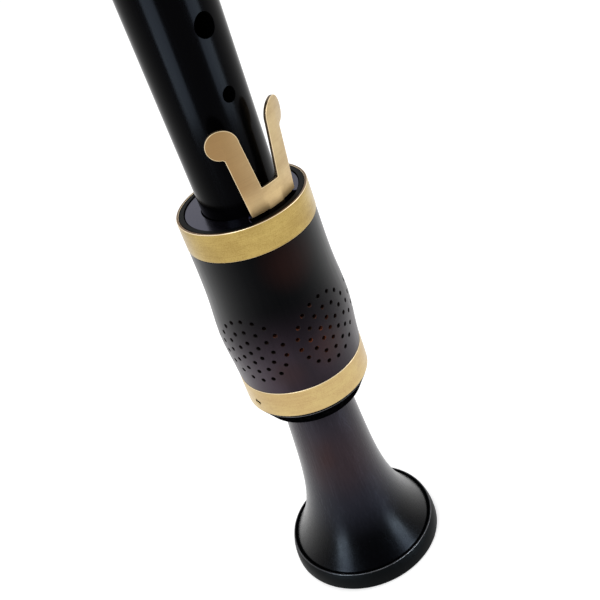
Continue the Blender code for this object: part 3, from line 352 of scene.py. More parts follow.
def neck_wear(tree):
    """The stain is thin on the neck and full on the bell and under the collar."""
    rising = level_mask(tree, 36.0, 74.0, 0.0, 1.0)
    fading = level_mask(tree, 109.0, 111.0, 1.0, 0.0)
    return calculate(tree, "MULTIPLY", rising, fading)


def neck_redness(tree):
    return calculate(tree, "MULTIPLY", rubbed_place(tree, *NECK_RED_PLACE), 0.9)


def make_shaded_black():
    """Matt black without gloss, as painted shade under the collar, with faint specks of dust."""
    material, tree, shader = new_material("dull black wood with painted shade")
    speckle_mask = value_range(tree, stretched_noise(tree, (700.0, 700.0, 90.0), 3.0), 0.4, 0.7, 0.0, 1.0)
    tree.links.new(blend_colors(tree, speckle_mask, STAIN_BLACK, COLLAR_DUST), shader.inputs["Base Color"])
    shader.inputs["Roughness"].default_value = 0.8
    shader.inputs["Specular IOR Level"].default_value = 0.0
    return material


def make_edge_highlight():
    """A painted highlight along the sharp turned edges, gray in streaks."""
    material, tree, shader = new_material("edge wood with painted highlight")
    # The noise streaks the painted highlight between its two grays.
    rubbed = value_range(tree, stretched_noise(tree, (60.0, 60.0, 400.0), 4.0, 0.6), 0.36, 0.62, 0.0, 1.0)
    tree.links.new(blend_colors(tree, rubbed, EDGE_HIGHLIGHT_DIM, EDGE_HIGHLIGHT_GRAY), shader.inputs["Base Color"])
    shader.inputs["Roughness"].default_value = 0.35
    shader.inputs["Specular IOR Level"].default_value = 0.2
    return material


def foot_surface(face):
    """0 for the oiled wood, 1 for the collar in matt black as painted shade, 2 for the bell's band, 3 for edges with a
    painted highlight.
    """
    level = face.center.z / MM
    radius = math.hypot(face.center.x, face.center.y) / MM
    rising = face.normal.z
    if radius > 23.5 and level > BELL_LENGTH - 0.05:
        return 3 if abs(level - COLLAR_TOP + COLLAR_BAND - 0.25) < 0.2 and rising > -0.8 else 1
    if radius > BELL_RIM_RADIUS - 1.6 and level < BELL_RIM_LEVEL + 0.1:
        on_rim = level > BELL_RIM_LEVEL - BELL_RIM_ROUND and radius > BELL_RIM_RADIUS - 0.5
        return 3 if on_rim and 0.45 < rising < 0.99 else 2
    return 0


foot = make_foot()
foot_wood = stained_wood(
    "foot wood", NECK_BROWN, NECK_RED, FOOT_ROUGHNESS, neck_wear, neck_redness, painted_sheen=bell_painted_sheen
)
shaded_dull_black = make_shaded_black()
band_wood = stained_wood("band wood", STAIN_BLACK, STAIN_BLACK, BAND_ROUGHNESS, 0.2, 0.0, BAND_IOR, BAND_TINT)
for material in (foot_wood, shaded_dull_black, band_wood, make_edge_highlight()):
    foot.data.materials.append(material)
for face in foot.data.polygons:
    face.material_index = foot_surface(face)
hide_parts("foot_joint")
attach(foot, "foot")

# Body joint
# The long tube with the finger holes, turned from maple, stained black and oiled. The holes are
# drilled through it at a slant, and a flat is planed on its front for the key's saddles.
BODY_FOOT = 140.5
BODY_LENGTH = 500.0
BODY_HEAD = BODY_FOOT + BODY_LENGTH
BODY_END = BODY_HEAD + 30.0
TENON_FOOT = 112.7
BODY_FOOT_RADIUS = 17.45
BODY_HEAD_RADIUS = 23.2
BODY_BOW = 0.35
FOOT_TENON_RADIUS = 14.5
HEAD_TENON_RADIUS = 16.2
CORK_FLOOR = 0.8
CORK_GAP = 0.2
CORK_LENGTH = 16.0
CORK_INSET = 6.0
BORE_HEAD_RADIUS = 13.0
KEY_BED = 16.42
KEY_BED_HALF_WIDTH = 7.9
TONE_HOLE = 158.0
DRILL_STEPS = 40
HOLE_SLANT = 20.0
FINGER_HOLES = {
    "six": (276.8, 3.25, HOLE_SLANT),
    "five": (306.3, 4.95, HOLE_SLANT),
    "four": (340.5, 4.95, HOLE_SLANT),
    "three": (462.5, 3.25, -HOLE_SLANT),
    "two": (502.5, 4.95, -HOLE_SLANT),
    "one": (542.5, 4.95, -HOLE_SLANT),
}
THUMB_HOLE = (568.5, 4.2)


def body_radius(level):
    """Outside radius of the body tube."""
    share = (level - BODY_FOOT) / BODY_LENGTH
    bowed = share + BODY_BOW * share * (1.0 - share)
    return BODY_FOOT_RADIUS + (BODY_HEAD_RADIUS - BODY_FOOT_RADIUS) * bowed


def bore_radius(level):
    """Radius of the conical bore."""
    share = (level - FOOT_SOCKET_FLOOR) / (BODY_END - FOOT_SOCKET_FLOOR)
    return FOOT_BORE_RADIUS + (BORE_HEAD_RADIUS - FOOT_BORE_RADIUS) * share


def cork_seat(radius, low):
    """Outline of the shallow groove for a cork."""
    under = low - CORK_GAP
    over = low + CORK_LENGTH + CORK_GAP
    return [(radius, under), (radius - CORK_FLOOR, under), (radius - CORK_FLOOR, over), (radius, over)]


def make_body():
    outline = [(bore_radius(TENON_FOOT), TENON_FOOT), (FOOT_TENON_RADIUS - 0.4, TENON_FOOT)]
    outline += [(FOOT_TENON_RADIUS, TENON_FOOT + 0.4)]
    outline += cork_seat(FOOT_TENON_RADIUS, TENON_FOOT + CORK_INSET)
    outline += [(FOOT_TENON_RADIUS, BODY_FOOT)]
    for step in range(41):
        level = BODY_FOOT + BODY_LENGTH * step / 40.0
        outline.append((body_radius(level), level))
    outline += [(HEAD_TENON_RADIUS, BODY_HEAD)]
    outline += cork_seat(HEAD_TENON_RADIUS, BODY_HEAD + CORK_INSET)
    outline += [(HEAD_TENON_RADIUS, BODY_END - 0.4), (HEAD_TENON_RADIUS - 0.4, BODY_END)]
    outline += [(bore_radius(BODY_END), BODY_END)]
    return lathe("body_tube", outline)


def front(side, forward, level):
    """A point by its place to the side, to the front and along the bore, in millimetres."""
    return Vector((side * MM, -forward * MM, level * MM))


def bar(start, end, radius, steps=DRILL_STEPS, name="bar"):
    """A round bar between two points."""
    along = end - start
    mesh_data = bmesh.new()
    bmesh.ops.create_cone(
        mesh_data, cap_ends=True, segments=steps, radius1=radius * MM, radius2=radius * MM, depth=along.length
    )
    turn = Vector((0.0, 0.0, 1.0)).rotation_difference(along).to_matrix().to_4x4()
    bmesh.ops.transform(mesh_data, matrix=Matrix.Translation((start + end) * 0.5) @ turn, verts=mesh_data.verts)
    return finished_mesh(name, mesh_data)


def slab(outline, half_width, name="slab"):
    """A piece with a (forward, level) outline and an equal width to each side."""
    mesh_data = bmesh.new()
    face = mesh_data.faces.new([mesh_data.verts.new(front(-half_width, f, z)) for f, z in outline])
    grown = bmesh.ops.extrude_face_region(mesh_data, geom=[face])
    far = [item for item in grown["geom"] if isinstance(item, bmesh.types.BMVert)]
    bmesh.ops.translate(mesh_data, verts=far, vec=(2.0 * half_width * MM, 0.0, 0.0))
    return finished_mesh(name, mesh_data)


def combine(piece, tools, operation):
    """Cuts tools from a piece or adds them, and takes the tools away."""
    for tool in tools:
        step = piece.modifiers.new(tool.name, "BOOLEAN")
        step.operation = operation
        step.solver = "EXACT"
        step.object = tool
        graph = bpy.context.evaluated_depsgraph_get()
        shape = bpy.data.meshes.new_from_object(piece.evaluated_get(graph))
        piece.modifiers.clear()
        old = piece.data
        piece.data = shape
        bpy.data.meshes.remove(old)
        bpy.data.objects.remove(tool, do_unlink=True)
    piece.data.name = piece.name


def round_normals(piece, nearly=0.97, slope=None):
    """Gives the turned faces of a drilled piece the normals of the whole turned form."""
    mesh = piece.data
    normals = []
    for face in mesh.polygons:
        out = Vector((face.center.x, face.center.y, 0.0)).normalized()
        facing = face.normal.dot(out)
        for index in face.loop_indices:
            if abs(facing) < nearly:
                normals.append(face.normal)
                continue
            place = mesh.vertices[mesh.loops[index].vertex_index].co
            level_out = Vector((place.x, place.y, 0.0)).normalized()
            rise = -slope(place.z / MM) if slope and facing > 0.0 else face.normal.z
            flat = math.sqrt(max(1.0 - rise ** 2, 0.0))
            normals.append(level_out * math.copysign(flat, facing) + Vector((0.0, 0.0, rise)))
    mesh.normals_split_custom_set(normals)


def body_drill(level, radius, slant, facing=1.0):
    """A drill from the tube's surface into the bore, slanting down towards the bell."""
    lean = math.radians(slant)
    surface = body_radius(level)
    inward = Vector((0.0, facing * math.cos(lean), -math.sin(lean)))
    start = front(0.0, facing * surface, level)
    depth = (surface - 0.4 * bore_radius(level)) / math.cos(lean)
    return bar(start - inward * 12.0 * MM, start + inward * depth * MM, radius)


body = make_body()
drills = [body_drill(*hole) for hole in FINGER_HOLES.values()]
drills.append(body_drill(THUMB_HOLE[0], THUMB_HOLE[1], 0.0, -1.0))
drills.append(body_drill(TONE_HOLE, 4.4, 0.0))
bed_low = TONE_HOLE - 10.6
bed_high = 218.3
bed = [(KEY_BED, bed_low), (KEY_BED + 14.0, bed_low), (KEY_BED + 14.0, bed_high), (KEY_BED, bed_high)]
combine(body, drills + [slab(bed, KEY_BED_HALF_WIDTH)], "DIFFERENCE")
round_normals(body)
TUBE_BROWN = (0.0012, 0.0010, 0.0012, 1.0)
TUBE_ROUGHNESS = 0.17
TUBE_IOR = 1.14
TUBE_TINT = (0.27, 0.27, 0.31, 1.0)
body_wood = stained_wood("body wood", TUBE_BROWN, TUBE_BROWN, TUBE_ROUGHNESS, 0.35, 0.2, TUBE_IOR, TUBE_TINT)
body.data.materials.append(body_wood)
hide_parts("body_joint")
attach(body, "body")

# Tenon corks
# Strips of sheet cork glued into shallow grooves and greased, so that each joint slides and seals.
CORK_TAN = (0.42, 0.25, 0.12, 1.0)
CORK_DARK = (0.10, 0.045, 0.02, 1.0)


def make_cork_material():
    material, tree, shader = new_material("sheet cork")
    specks = value_range(tree, stretched_noise(tree, (900.0, 900.0, 900.0), 3.0), 0.52, 0.66, 0.0, 1.0)
    cells = stretched_noise(tree, (2200.0, 2200.0, 2200.0), 2.0)
    tree.links.new(blend_colors(tree, specks, CORK_TAN, CORK_DARK), shader.inputs["Base Color"])
    shader.inputs["Roughness"].default_value = 0.7
    add_bump(tree, shader, cells, 0.5, 0.0002)
    return material


cork = make_cork_material()
for name in ("foot_tenon_cork", "head_tenon_cork", "cap_tenon_cork"):
    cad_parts[name].data.materials.clear()
    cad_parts[name].data.materials.append(cork)

# Fontanelle
# A turned barrel that covers the key. Five rosettes of small holes are drilled through its wall,
# and the raw red-brown wood shows inside the holes, painted lit near one place and painted dark with shade elsewhere.
BARREL_FOOT = 119.5
BARREL_TOP = 224.5
BARREL_FOOT_RADIUS = 31.5
BARREL_TOP_RADIUS = 31.0
BARREL_BORE = 26.6
BARREL_SWELL = 1.7
BARREL_SWELL_LEVEL = 160.5
BARREL_SWELL_REACH = 17.5
RING_HEIGHT = 14.6
RING_WALL = 1.2
JOINT_GAP = 0.3
RING_SEAM = 0.12
DISC_SEAT = 27.3
DISC_FOOT = 219.8
ROSETTES = 5
ROSETTE_RADII = (0.0, 5.8, 11.6, 17.4)
ROSETTE_LEVEL = 160.3
ROSETTE_HOLE = 1.0
ROSETTE_STEPS = 14
ROSETTE_SINK = 0.2
BARREL_BROWN = (0.045, 0.030, 0.043, 1.0)
BARREL_RED = (0.034, 0.010, 0.007, 1.0)
BARREL_RED_PLACES = ((-13.0, 201.0, 31.0, 18.0), (-7.6, 152.0, 32.8, 15.0), (-47.0, 145.0, 31.8, 12.0))
RAW_WOOD = (0.15, 0.036, 0.012, 1.0)
# Painted shade for the hole walls away from one place, where they are painted lit.
HOLE_SHADE_DARK = (0.003, 0.0014, 0.0012, 1.0)
HOLE_LIT_PLACE = (-24.0, 161.0, 32.5, 22.0)


def barrel_radius(level):
    """Outside radius of the barrel, which swells at the rosettes."""
    share = (level - BARREL_FOOT) / (BARREL_TOP - BARREL_FOOT)
    swell = BARREL_SWELL * math.exp(-(((level - BARREL_SWELL_LEVEL) / BARREL_SWELL_REACH) ** 2))
    return BARREL_FOOT_RADIUS + (BARREL_TOP_RADIUS - BARREL_FOOT_RADIUS) * share + swell


def barrel_slope(level):
    """How much the barrel's radius grows for each millimetre of height."""
    return barrel_radius(level + 0.5) - barrel_radius(level - 0.5)


def make_barrel():
    seat = RING_WALL + JOINT_GAP
    low = BARREL_FOOT + RING_HEIGHT + RING_SEAM
    high = BARREL_TOP - RING_HEIGHT - RING_SEAM
    outline = [(BARREL_BORE, BARREL_FOOT), (BARREL_FOOT_RADIUS - seat, BARREL_FOOT)]
    outline += [(BARREL_FOOT_RADIUS - seat, low), (BARREL_FOOT_RADIUS - 0.35, low)]
    for step in range(1, 40):
        level = low + (high - low) * step / 40.0
        outline.append((barrel_radius(level) - 0.2, level))
    outline += [(BARREL_TOP_RADIUS - 0.25, high - 0.2), (BARREL_TOP_RADIUS - 0.45, high)]
    outline += [(BARREL_TOP_RADIUS - seat, high), (BARREL_TOP_RADIUS - seat, BARREL_TOP - 0.15)]
    outline += [(BARREL_TOP_RADIUS - seat - 0.15, BARREL_TOP), (DISC_SEAT + 0.15, BARREL_TOP)]
    outline += [(DISC_SEAT, BARREL_TOP - 0.15), (DISC_SEAT, DISC_FOOT - JOINT_GAP), (BARREL_BORE, DISC_FOOT - JOINT_GAP)]
    return lathe("fontanelle_barrel", outline)


def make_rosette_drills(sinking=False):
    """One tool with every drill or every countersink, each pointing at the bore's axis."""
    mesh_data = bmesh.new()
    surface = barrel_radius(ROSETTE_LEVEL)
    for rosette in range(ROSETTES):
        middle = math.tau * rosette / ROSETTES
        for ring, ring_radius in enumerate(ROSETTE_RADII):
            for hole in range(max(6 * ring, 1)):
                turn = math.tau * hole / max(6 * ring, 1)
                azimuth = middle + ring_radius * math.sin(turn) / surface
                level = ROSETTE_LEVEL + ring_radius * math.cos(turn)
                middle_radius = barrel_radius(level) - 0.2 if sinking else 0.5 * (BARREL_BORE + surface)
                aim = Matrix.Rotation(azimuth, 4, "Z") @ Matrix.Translation(front(0.0, middle_radius, level))
                flare = ROSETTE_SINK if sinking else 0.0
                bmesh.ops.create_cone(
                    mesh_data,
                    cap_ends=True,
                    segments=ROSETTE_STEPS,
                    radius1=(ROSETTE_HOLE - 0.02 * flare) * MM,
                    radius2=(ROSETTE_HOLE + 2.0 * flare) * MM,
                    depth=(2.0 * flare if sinking else 10.0) * MM,
                    matrix=aim @ Matrix.Rotation(math.radians(90.0), 4, "X"),
                )
    return finished_mesh("rosette drills", mesh_data)


def make_hole_walls():
    material, tree, shader = new_material("raw wood in the holes with painted light and shade")
    grain = stretched_noise(tree, (900.0, 900.0, 160.0), 3.0)
    patches = value_range(tree, stretched_noise(tree, (210.0, 210.0, 210.0), 2.0), 0.42, 0.60, 0.1, 1.0)
    share = calculate(tree, "MULTIPLY", value_range(tree, grain, 0.35, 0.65, 0.2, 1.0), patches)
    # Near that place the walls show the raw wood as painted light; elsewhere painted shade darkens them.
    share = calculate(tree, "MULTIPLY", share, rubbed_place(tree, *HOLE_LIT_PLACE))
    tree.links.new(blend_colors(tree, share, HOLE_SHADE_DARK, RAW_WOOD), shader.inputs["Base Color"])
    shader.inputs["Roughness"].default_value = 0.6
    shader.inputs["Specular IOR Level"].default_value = 0.1
    return material


def barrel_wear(tree):
    """The stain is rubbed thin round the foot of the barrel and full above the rosettes."""
    return level_mask(tree, 138.0, 184.0, 1.0, 0.0)


def barrel_redness(tree):
    places = [rubbed_place(tree, *place) for place in BARREL_RED_PLACES]
    both = calculate(tree, "MAXIMUM", places[0], places[1])
    return calculate(tree, "MULTIPLY", calculate(tree, "MAXIMUM", both, places[2]), 0.8)


barrel = make_barrel()
combine(barrel, [make_rosette_drills(), make_rosette_drills(sinking=True)], "DIFFERENCE")
round_normals(barrel, 0.97, barrel_slope)
barrel_wood = stained_wood("barrel wood", BARREL_BROWN, BARREL_RED, 0.32, barrel_wear, barrel_redness)
barrel.data.materials.clear()
barrel.data.materials.append(barrel_wood)
barrel.data.materials.append(make_hole_walls())
barrel.data.materials.append(band_wood)
for face in barrel.data.polygons:
    out = Vector((face.center.x, face.center.y, 0.0))
    in_rosette = abs(face.center.z - ROSETTE_LEVEL * MM) < 20.0 * MM
    across = abs(face.normal.dot(out.normalized())) < 0.9
    face.material_index = 1 if out.length > (BARREL_BORE + 0.05) * MM and in_rosette and across else 0
    if face.center.z > (BARREL_TOP - 0.5) * MM:
        face.material_index = 2
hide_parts("fontanelle")
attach(barrel, "body")

# Barrel rings
# Two ferrules of sheet brass pressed on the barrel's ends, ground round and left satin. The lower
# one is held by a small screw filed flush, of which only the slot shows.
UPPER_RING_GOLD = (0.47, 0.340, 0.102, 1.0)
UPPER_RING_DEEP = (0.27, 0.170, 0.038, 1.0)
LOWER_RING_GOLD = (0.56, 0.425, 0.175, 1.0)
LOWER_RING_DEEP = (0.42, 0.27, 0.115, 1.0)
# Near black painted in the screw's slot as shade.
SLOT_SHADE = (0.0015, 0.0010, 0.0008, 1.0)
SLOT_SHADE_SPECKS = (0.008, 0.005, 0.003, 1.0)
LACQUER = 0.35
RING_ROUND = 0.42
# Painted shade for the rings' flat ends and a painted highlight for their rounded rims.
RING_END_SHADE_BROWN = (0.15, 0.085, 0.035, 1.0)
RING_END_SHADE_DARK = (0.06, 0.032, 0.014, 1.0)
RING_RIM_HIGHLIGHT_PALE = (0.86, 0.72, 0.50, 1.0)
RING_RIM_HIGHLIGHT_GOLD = (0.62, 0.46, 0.22, 1.0)
RING_SCREW_RADIUS = 1.9
RING_SCREW_AZIMUTH = -92.0
RING_SCREW_LEVEL = 125.7
RING_SCREW_SLOT = 1.45
RING_SCREW_TILT = 17.0


def make_brushed_metal():
    """Fine scratches round the bore and soft clouds of tarnish."""
    tree, given, result = start_group(
        "brushed metal",
        [
            ("Metal", "NodeSocketColor", UPPER_RING_GOLD),
            ("Tarnish", "NodeSocketColor", UPPER_RING_DEEP),
            ("Clouds", "NodeSocketFloat", 0.5),
            ("Scratches", "NodeSocketFloat", 0.5),
        ],
        [("Color", "NodeSocketColor"), ("Roughness", "NodeSocketFloat"), ("Height", "NodeSocketFloat")],
    )
    lines = stretched_noise(tree, (60.0, 60.0, 4200.0), 3.0, 0.6)
    specks = stretched_noise(tree, (1900.0, 1900.0, 1400.0), 2.0, 0.6)
    clouds = value_range(tree, stretched_noise(tree, (60.0, 60.0, 90.0), 5.0, 0.68), 0.34, 0.66, 0.0, 1.0)
    scratches = value_range(tree, lines, 0.32, 0.68, 0.0, 1.0)
    share = calculate(tree, "MULTIPLY", clouds, given.outputs["Clouds"])
    streak = calculate(tree, "MULTIPLY", scratches, given.outputs["Scratches"])
    share = calculate(tree, "ADD", share, calculate(tree, "MULTIPLY", streak, 0.45))
    speck = value_range(tree, specks, 0.42, 0.70, 0.0, 0.55)
    share = calculate(tree, "ADD", share, calculate(tree, "MULTIPLY", speck, given.outputs["Scratches"]))
    color = blend_colors(tree, share, given.outputs["Metal"], given.outputs["Tarnish"])
    tree.links.new(color, result.inputs["Color"])
    rough = calculate(tree, "MULTIPLY", scratches, 0.10)
    tree.links.new(calculate(tree, "ADD", rough, calculate(tree, "MULTIPLY", clouds, 0.06)), result.inputs["Roughness"])
    height = calculate(tree, "ADD", lines, calculate(tree, "MULTIPLY", specks, 0.4))
    tree.links.new(height, result.inputs["Height"])
    return tree


brushed_metal = make_brushed_metal()


def satin_brass(name, metal, tarnish, clouds, scratches, roughness, bump=0.25):
    """Brass with its own tint, as ground and worn as the piece is."""
    material, tree, shader = new_material(name)
    brushed = tree.nodes.new("ShaderNodeGroup")
    brushed.node_tree = brushed_metal
    brushed.inputs["Metal"].default_value = metal
    brushed.inputs["Tarnish"].default_value = tarnish
    brushed.inputs["Clouds"].default_value = clouds
    brushed.inputs["Scratches"].default_value = scratches
    tree.links.new(brushed.outputs["Color"], shader.inputs["Base Color"])
    tree.links.new(calculate(tree, "ADD", brushed.outputs["Roughness"], roughness), shader.inputs["Roughness"])
    shader.inputs["Metallic"].default_value = 1.0
    shader.inputs["Coat Weight"].default_value = LACQUER
    shader.inputs["Coat Roughness"].default_value = 0.25
    add_bump(tree, shader, brushed.outputs["Height"], bump, 0.00004)
    return material


def make_ring(name, foot_radius, top_radius, foot, top):
    """A ferrule with small round edges."""
    outline = [(foot_radius - RING_WALL, foot)]
    outline += corner(foot_radius - RING_ROUND, foot + RING_ROUND, RING_ROUND, -90.0, 0.0, 4)
    for step in range(1, 6):
        share = step / 6.0
        belly = 0.05 * math.sin(math.pi * share)
        outline.append((foot_radius + (top_radius - foot_radius) * share + belly, foot + (top - foot) * share))
    outline += corner(top_radius - RING_ROUND, top - RING_ROUND, RING_ROUND, 0.0, 90.0, 4)
    outline += [(top_radius - RING_WALL + 0.1, top), (top_radius - RING_WALL, top - 0.1)]
    return lathe(name, outline)


def lay_brass(ring, brass):
    """A ring's satin outside, with painted shade in darker brown on its flat ends and a painted highlight on its
    rounded rims.
    """
    ring.data.materials.clear()
    for material in (brass, shaded_ring_ends, highlit_ring_rims):
        ring.data.materials.append(material)
    for face in ring.data.polygons:
        tilt = abs(face.normal.z)
        face.material_index = 1 if tilt > 0.96 else (2 if tilt > 0.3 else 0)


def make_slot_shade():
    """Near black in the screw's slot, as painted shade in the recess."""
    material, tree, shader = new_material("painted shade in the slot")
    speckle_mask = value_range(tree, stretched_noise(tree, (1800.0, 1800.0, 1800.0), 2.0), 0.4, 0.7, 0.0, 1.0)
    tree.links.new(blend_colors(tree, speckle_mask, SLOT_SHADE, SLOT_SHADE_SPECKS), shader.inputs["Base Color"])
    shader.inputs["Roughness"].default_value = 0.8
    shader.inputs["Specular IOR Level"].default_value = 0.1
    return material


upper_ring = make_ring(
    "upper_ferrule", BARREL_TOP_RADIUS, BARREL_TOP_RADIUS, BARREL_TOP - RING_HEIGHT, BARREL_TOP
)
shaded_ring_ends = satin_brass("ring end brass with painted shade", RING_END_SHADE_BROWN, RING_END_SHADE_DARK, 0.6, 0.2, 0.36)
highlit_ring_rims = satin_brass("ring rim brass with painted highlight", RING_RIM_HIGHLIGHT_PALE, RING_RIM_HIGHLIGHT_GOLD, 0.3, 0.2, 0.26)
lay_brass(upper_ring, satin_brass("upper ring brass", UPPER_RING_GOLD, UPPER_RING_DEEP, 0.35, 0.6, 0.30))
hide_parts("upper_ring")
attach(upper_ring, "body")

lower_brass = satin_brass("lower ring brass", LOWER_RING_GOLD, LOWER_RING_DEEP, 0.40, 0.55, 0.34)
lower_ring = make_ring(
    "lower_ferrule", BARREL_FOOT_RADIUS, BARREL_FOOT_RADIUS, BARREL_FOOT, BARREL_FOOT + RING_HEIGHT
)
screw_turn = Matrix.Rotation(math.radians(RING_SCREW_AZIMUTH), 4, "Z")
screw_hole = bar(
    screw_turn @ front(0.0, BARREL_BORE + 0.7, RING_SCREW_LEVEL),
    screw_turn @ front(0.0, BARREL_FOOT_RADIUS + 3.0, RING_SCREW_LEVEL),
    RING_SCREW_RADIUS + 0.02,
)
combine(lower_ring, [screw_hole], "DIFFERENCE")
round_normals(lower_ring)
lay_brass(lower_ring, lower_brass)
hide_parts("lower_ring")
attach(lower_ring, "body")

ring_screw = bar(
    screw_turn @ front(0.0, BARREL_BORE + 0.9, RING_SCREW_LEVEL),
    screw_turn @ front(0.0, BARREL_FOOT_RADIUS + 1.0, RING_SCREW_LEVEL),
    RING_SCREW_RADIUS,
    name="flush_ring_screw",
)
trim_outline = [(BARREL_FOOT_RADIUS - 0.01, 100.0), (45.0, 100.0), (45.0, 150.0), (BARREL_FOOT_RADIUS - 0.01, 150.0)]
trim = lathe("trim", trim_outline)
slot_floor = BARREL_FOOT_RADIUS - 0.9
slot_box = [(slot_floor, -0.5 * RING_SCREW_SLOT), (slot_floor + 4.0, -0.5 * RING_SCREW_SLOT)]
slot_box += [(slot_floor + 4.0, 0.5 * RING_SCREW_SLOT), (slot_floor, 0.5 * RING_SCREW_SLOT)]
slot_tool = slab(slot_box, RING_SCREW_RADIUS + 0.5)
slot_tilt = Matrix.Rotation(math.radians(RING_SCREW_TILT), 4, "Y")
slot_tool.matrix_world = Matrix.Translation((0.0, 0.0, RING_SCREW_LEVEL * MM)) @ screw_turn @ slot_tilt
bpy.context.view_layer.update()
combine(ring_screw, [trim, slot_tool], "DIFFERENCE")
ring_screw.data.materials.clear()
ring_screw.data.materials.append(lower_brass)
ring_screw.data.materials.append(make_slot_shade())
for face in ring_screw.data.polygons:
    sunk = Vector((face.center.x, face.center.y)).length < (BARREL_FOOT_RADIUS - 0.2) * MM
    face.material_index = 1 if sunk else 0
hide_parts("ring_screw")
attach(ring_screw, "body")

# Fontanelle disc
# A thin disc of dark wood that closes the barrel's top round the tube. Its face has a violet-tinted gloss,
# and it is notched at the front for the touch.
DISC_TOP = 224.0
DISC_RADIUS = 27.0
DISC_HOLE_GAP = 0.35
TOUCH_RADIUS = 25.7
TOUCH_BEND = 37.4
TOUCH_LEAN = 2.8
TOUCH_THICKNESS = 1.6
TOUCH_BASE = 13.2
TOUCH_TRAVEL = 2.4
SLICE = 1.1
DISC_GRAY = (0.0022, 0.0020, 0.0030, 1.0)
DISC_DARK = (0.0008, 0.0007, 0.0012, 1.0)
DISC_GLOSS = 0.75
DISC_TINT = (0.33, 0.33, 0.75, 1.0)
DISC_ROUGHNESS = 0.2


def bent_plate(outline, ahead, behind, edge=0.0, name="plate", cuts=()):
    """A plate from a (side, height) outline, bent round an upright axis, with worn edges.

    Heights count from the barrel's top. It reaches from ahead of the touch's face to behind it. At each
    height in cuts its faces are divided, so that they can be finished apart.
    """
    mesh_data = bmesh.new()
    mesh_data.faces.new([mesh_data.verts.new((s * MM, 0.0, v * MM)) for s, v in outline])
    grown = bmesh.ops.extrude_face_region(mesh_data, geom=mesh_data.faces[:])
    far = [item for item in grown["geom"] if isinstance(item, bmesh.types.BMVert)]
    bmesh.ops.translate(mesh_data, verts=far, vec=(0.0, (ahead + behind) * MM, 0.0))
    bmesh.ops.recalc_face_normals(mesh_data, faces=mesh_data.faces)
    if edge:
        rim = [item for item in mesh_data.edges if any(abs(face.normal.y) > 0.9 for face in item.link_faces)]
        bmesh.ops.bevel(mesh_data, geom=rim, offset=edge * MM, segments=2, profile=0.6, affect="EDGES")
        mesh_data.normal_update()
        # The flat faces, the bevels and the sides get separate slots; the touch paints a highlight on the bevels and
        # shade on the sides.
        for face in mesh_data.faces:
            across = abs(face.normal.y)
            face.material_index = 0 if across > 0.98 else (2 if across < 0.05 else 1)
    slices = int(max(s for s, v in outline) / SLICE)
    planes = [((index * SLICE * MM, 0.0, 0.0), (1.0, 0.0, 0.0)) for index in range(-slices, slices + 1)]
    planes += [((0.0, 0.0, height * MM), (0.0, 0.0, 1.0)) for height in cuts]
    for place, across in planes:
        everything = mesh_data.verts[:] + mesh_data.edges[:] + mesh_data.faces[:]
        bmesh.ops.bisect_plane(mesh_data, geom=everything, dist=1e-6, plane_co=place, plane_no=across)
    lean = math.radians(TOUCH_LEAN)
    up = Vector((0.0, -math.sin(lean), math.cos(lean)))
    out = Vector((0.0, -math.cos(lean), -math.sin(lean)))
    foot_point = front(0.0, TOUCH_RADIUS, BARREL_TOP)
    for vert in mesh_data.verts:
        angle = vert.co.x / (TOUCH_BEND * MM)
        reach = (TOUCH_BEND + ahead) * MM - vert.co.y
        forward = reach * math.cos(angle) - TOUCH_BEND * MM
        side = Vector((reach * math.sin(angle), 0.0, 0.0))
        vert.co = foot_point + side + out * forward + up * vert.co.z
    return finished_mesh(name, mesh_data)


def make_disc():
    hole = body_radius(DISC_TOP) + DISC_HOLE_GAP
    outline = [(hole, DISC_FOOT), (DISC_RADIUS, DISC_FOOT), (DISC_RADIUS, DISC_TOP - 0.25)]
    outline += [(DISC_RADIUS - 0.25, DISC_TOP), (hole + 0.2, DISC_TOP), (hole, DISC_TOP - 0.2)]
    disc = lathe("fontanelle_top_disc", outline)
    half = TOUCH_BASE + 0.9
    low = DISC_FOOT - BARREL_TOP - 3.0
    notch = bent_plate([(-half, low), (half, low), (half, 3.0), (-half, 3.0)], 4.3, TOUCH_THICKNESS + TOUCH_TRAVEL)
    combine(disc, [notch], "DIFFERENCE")
    return disc


def make_disc_material():
    material, tree, shader = new_material("matt disc wood")
    grain = stretched_noise(tree, (420.0, 60.0, 60.0), 4.0, 0.6)
    share = value_range(tree, grain, 0.34, 0.66, 0.0, 1.0)
    tree.links.new(blend_colors(tree, share, DISC_DARK, DISC_GRAY), shader.inputs["Base Color"])
    shader.inputs["Roughness"].default_value = DISC_ROUGHNESS
    shader.inputs["Specular IOR Level"].default_value = DISC_GLOSS
    shader.inputs["Specular Tint"].default_value = DISC_TINT
    add_bump(tree, shader, grain, 0.2, 0.0001)
    return material


disc = make_disc()
disc.data.materials.append(make_disc_material())
disc.data.materials.append(shaded_dull_black)
# The disc's sides and notch walls take the matt black as painted shade.
for face in disc.data.polygons:
    face.material_index = 0 if face.normal.z > 0.9 else 1
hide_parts("fontanelle_disc")
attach(disc, "body")

# Touch
# The swallow-tail key for the little finger of either hand: sawn from brass plate, bent, draw-filed
# and left satin. A knuckle and a tail are brazed on below, inside the barrel.
TOUCH_PIVOT = 22.12
TOUCH_PIVOT_LEVEL = 208.0
TOUCH_EDGE = 0.26
CROTCH = (4.9, 12.0)
SHOULDER = 8.2
LOBE = (16.4, 37.4)
LOBE_RADIUS = 6.4
NOTCH = (16.5, 30.3)
WIDE_FOOT = 1.2
STEM_HALF_WIDTH = 4.6
KNUCKLE_RADIUS = 2.3
KNUCKLE_HALF_WIDTH = 4.8
AXLE_BORE = 1.08
TAIL_HALF_WIDTH = 4.0
TAIL_MIDDLE = 18.62
TAIL_HALF_THICKNESS = 0.7
TAIL_CONTACT = 190.0
TAIL_BEND = 195.0
STEM_FOOT = -6.0
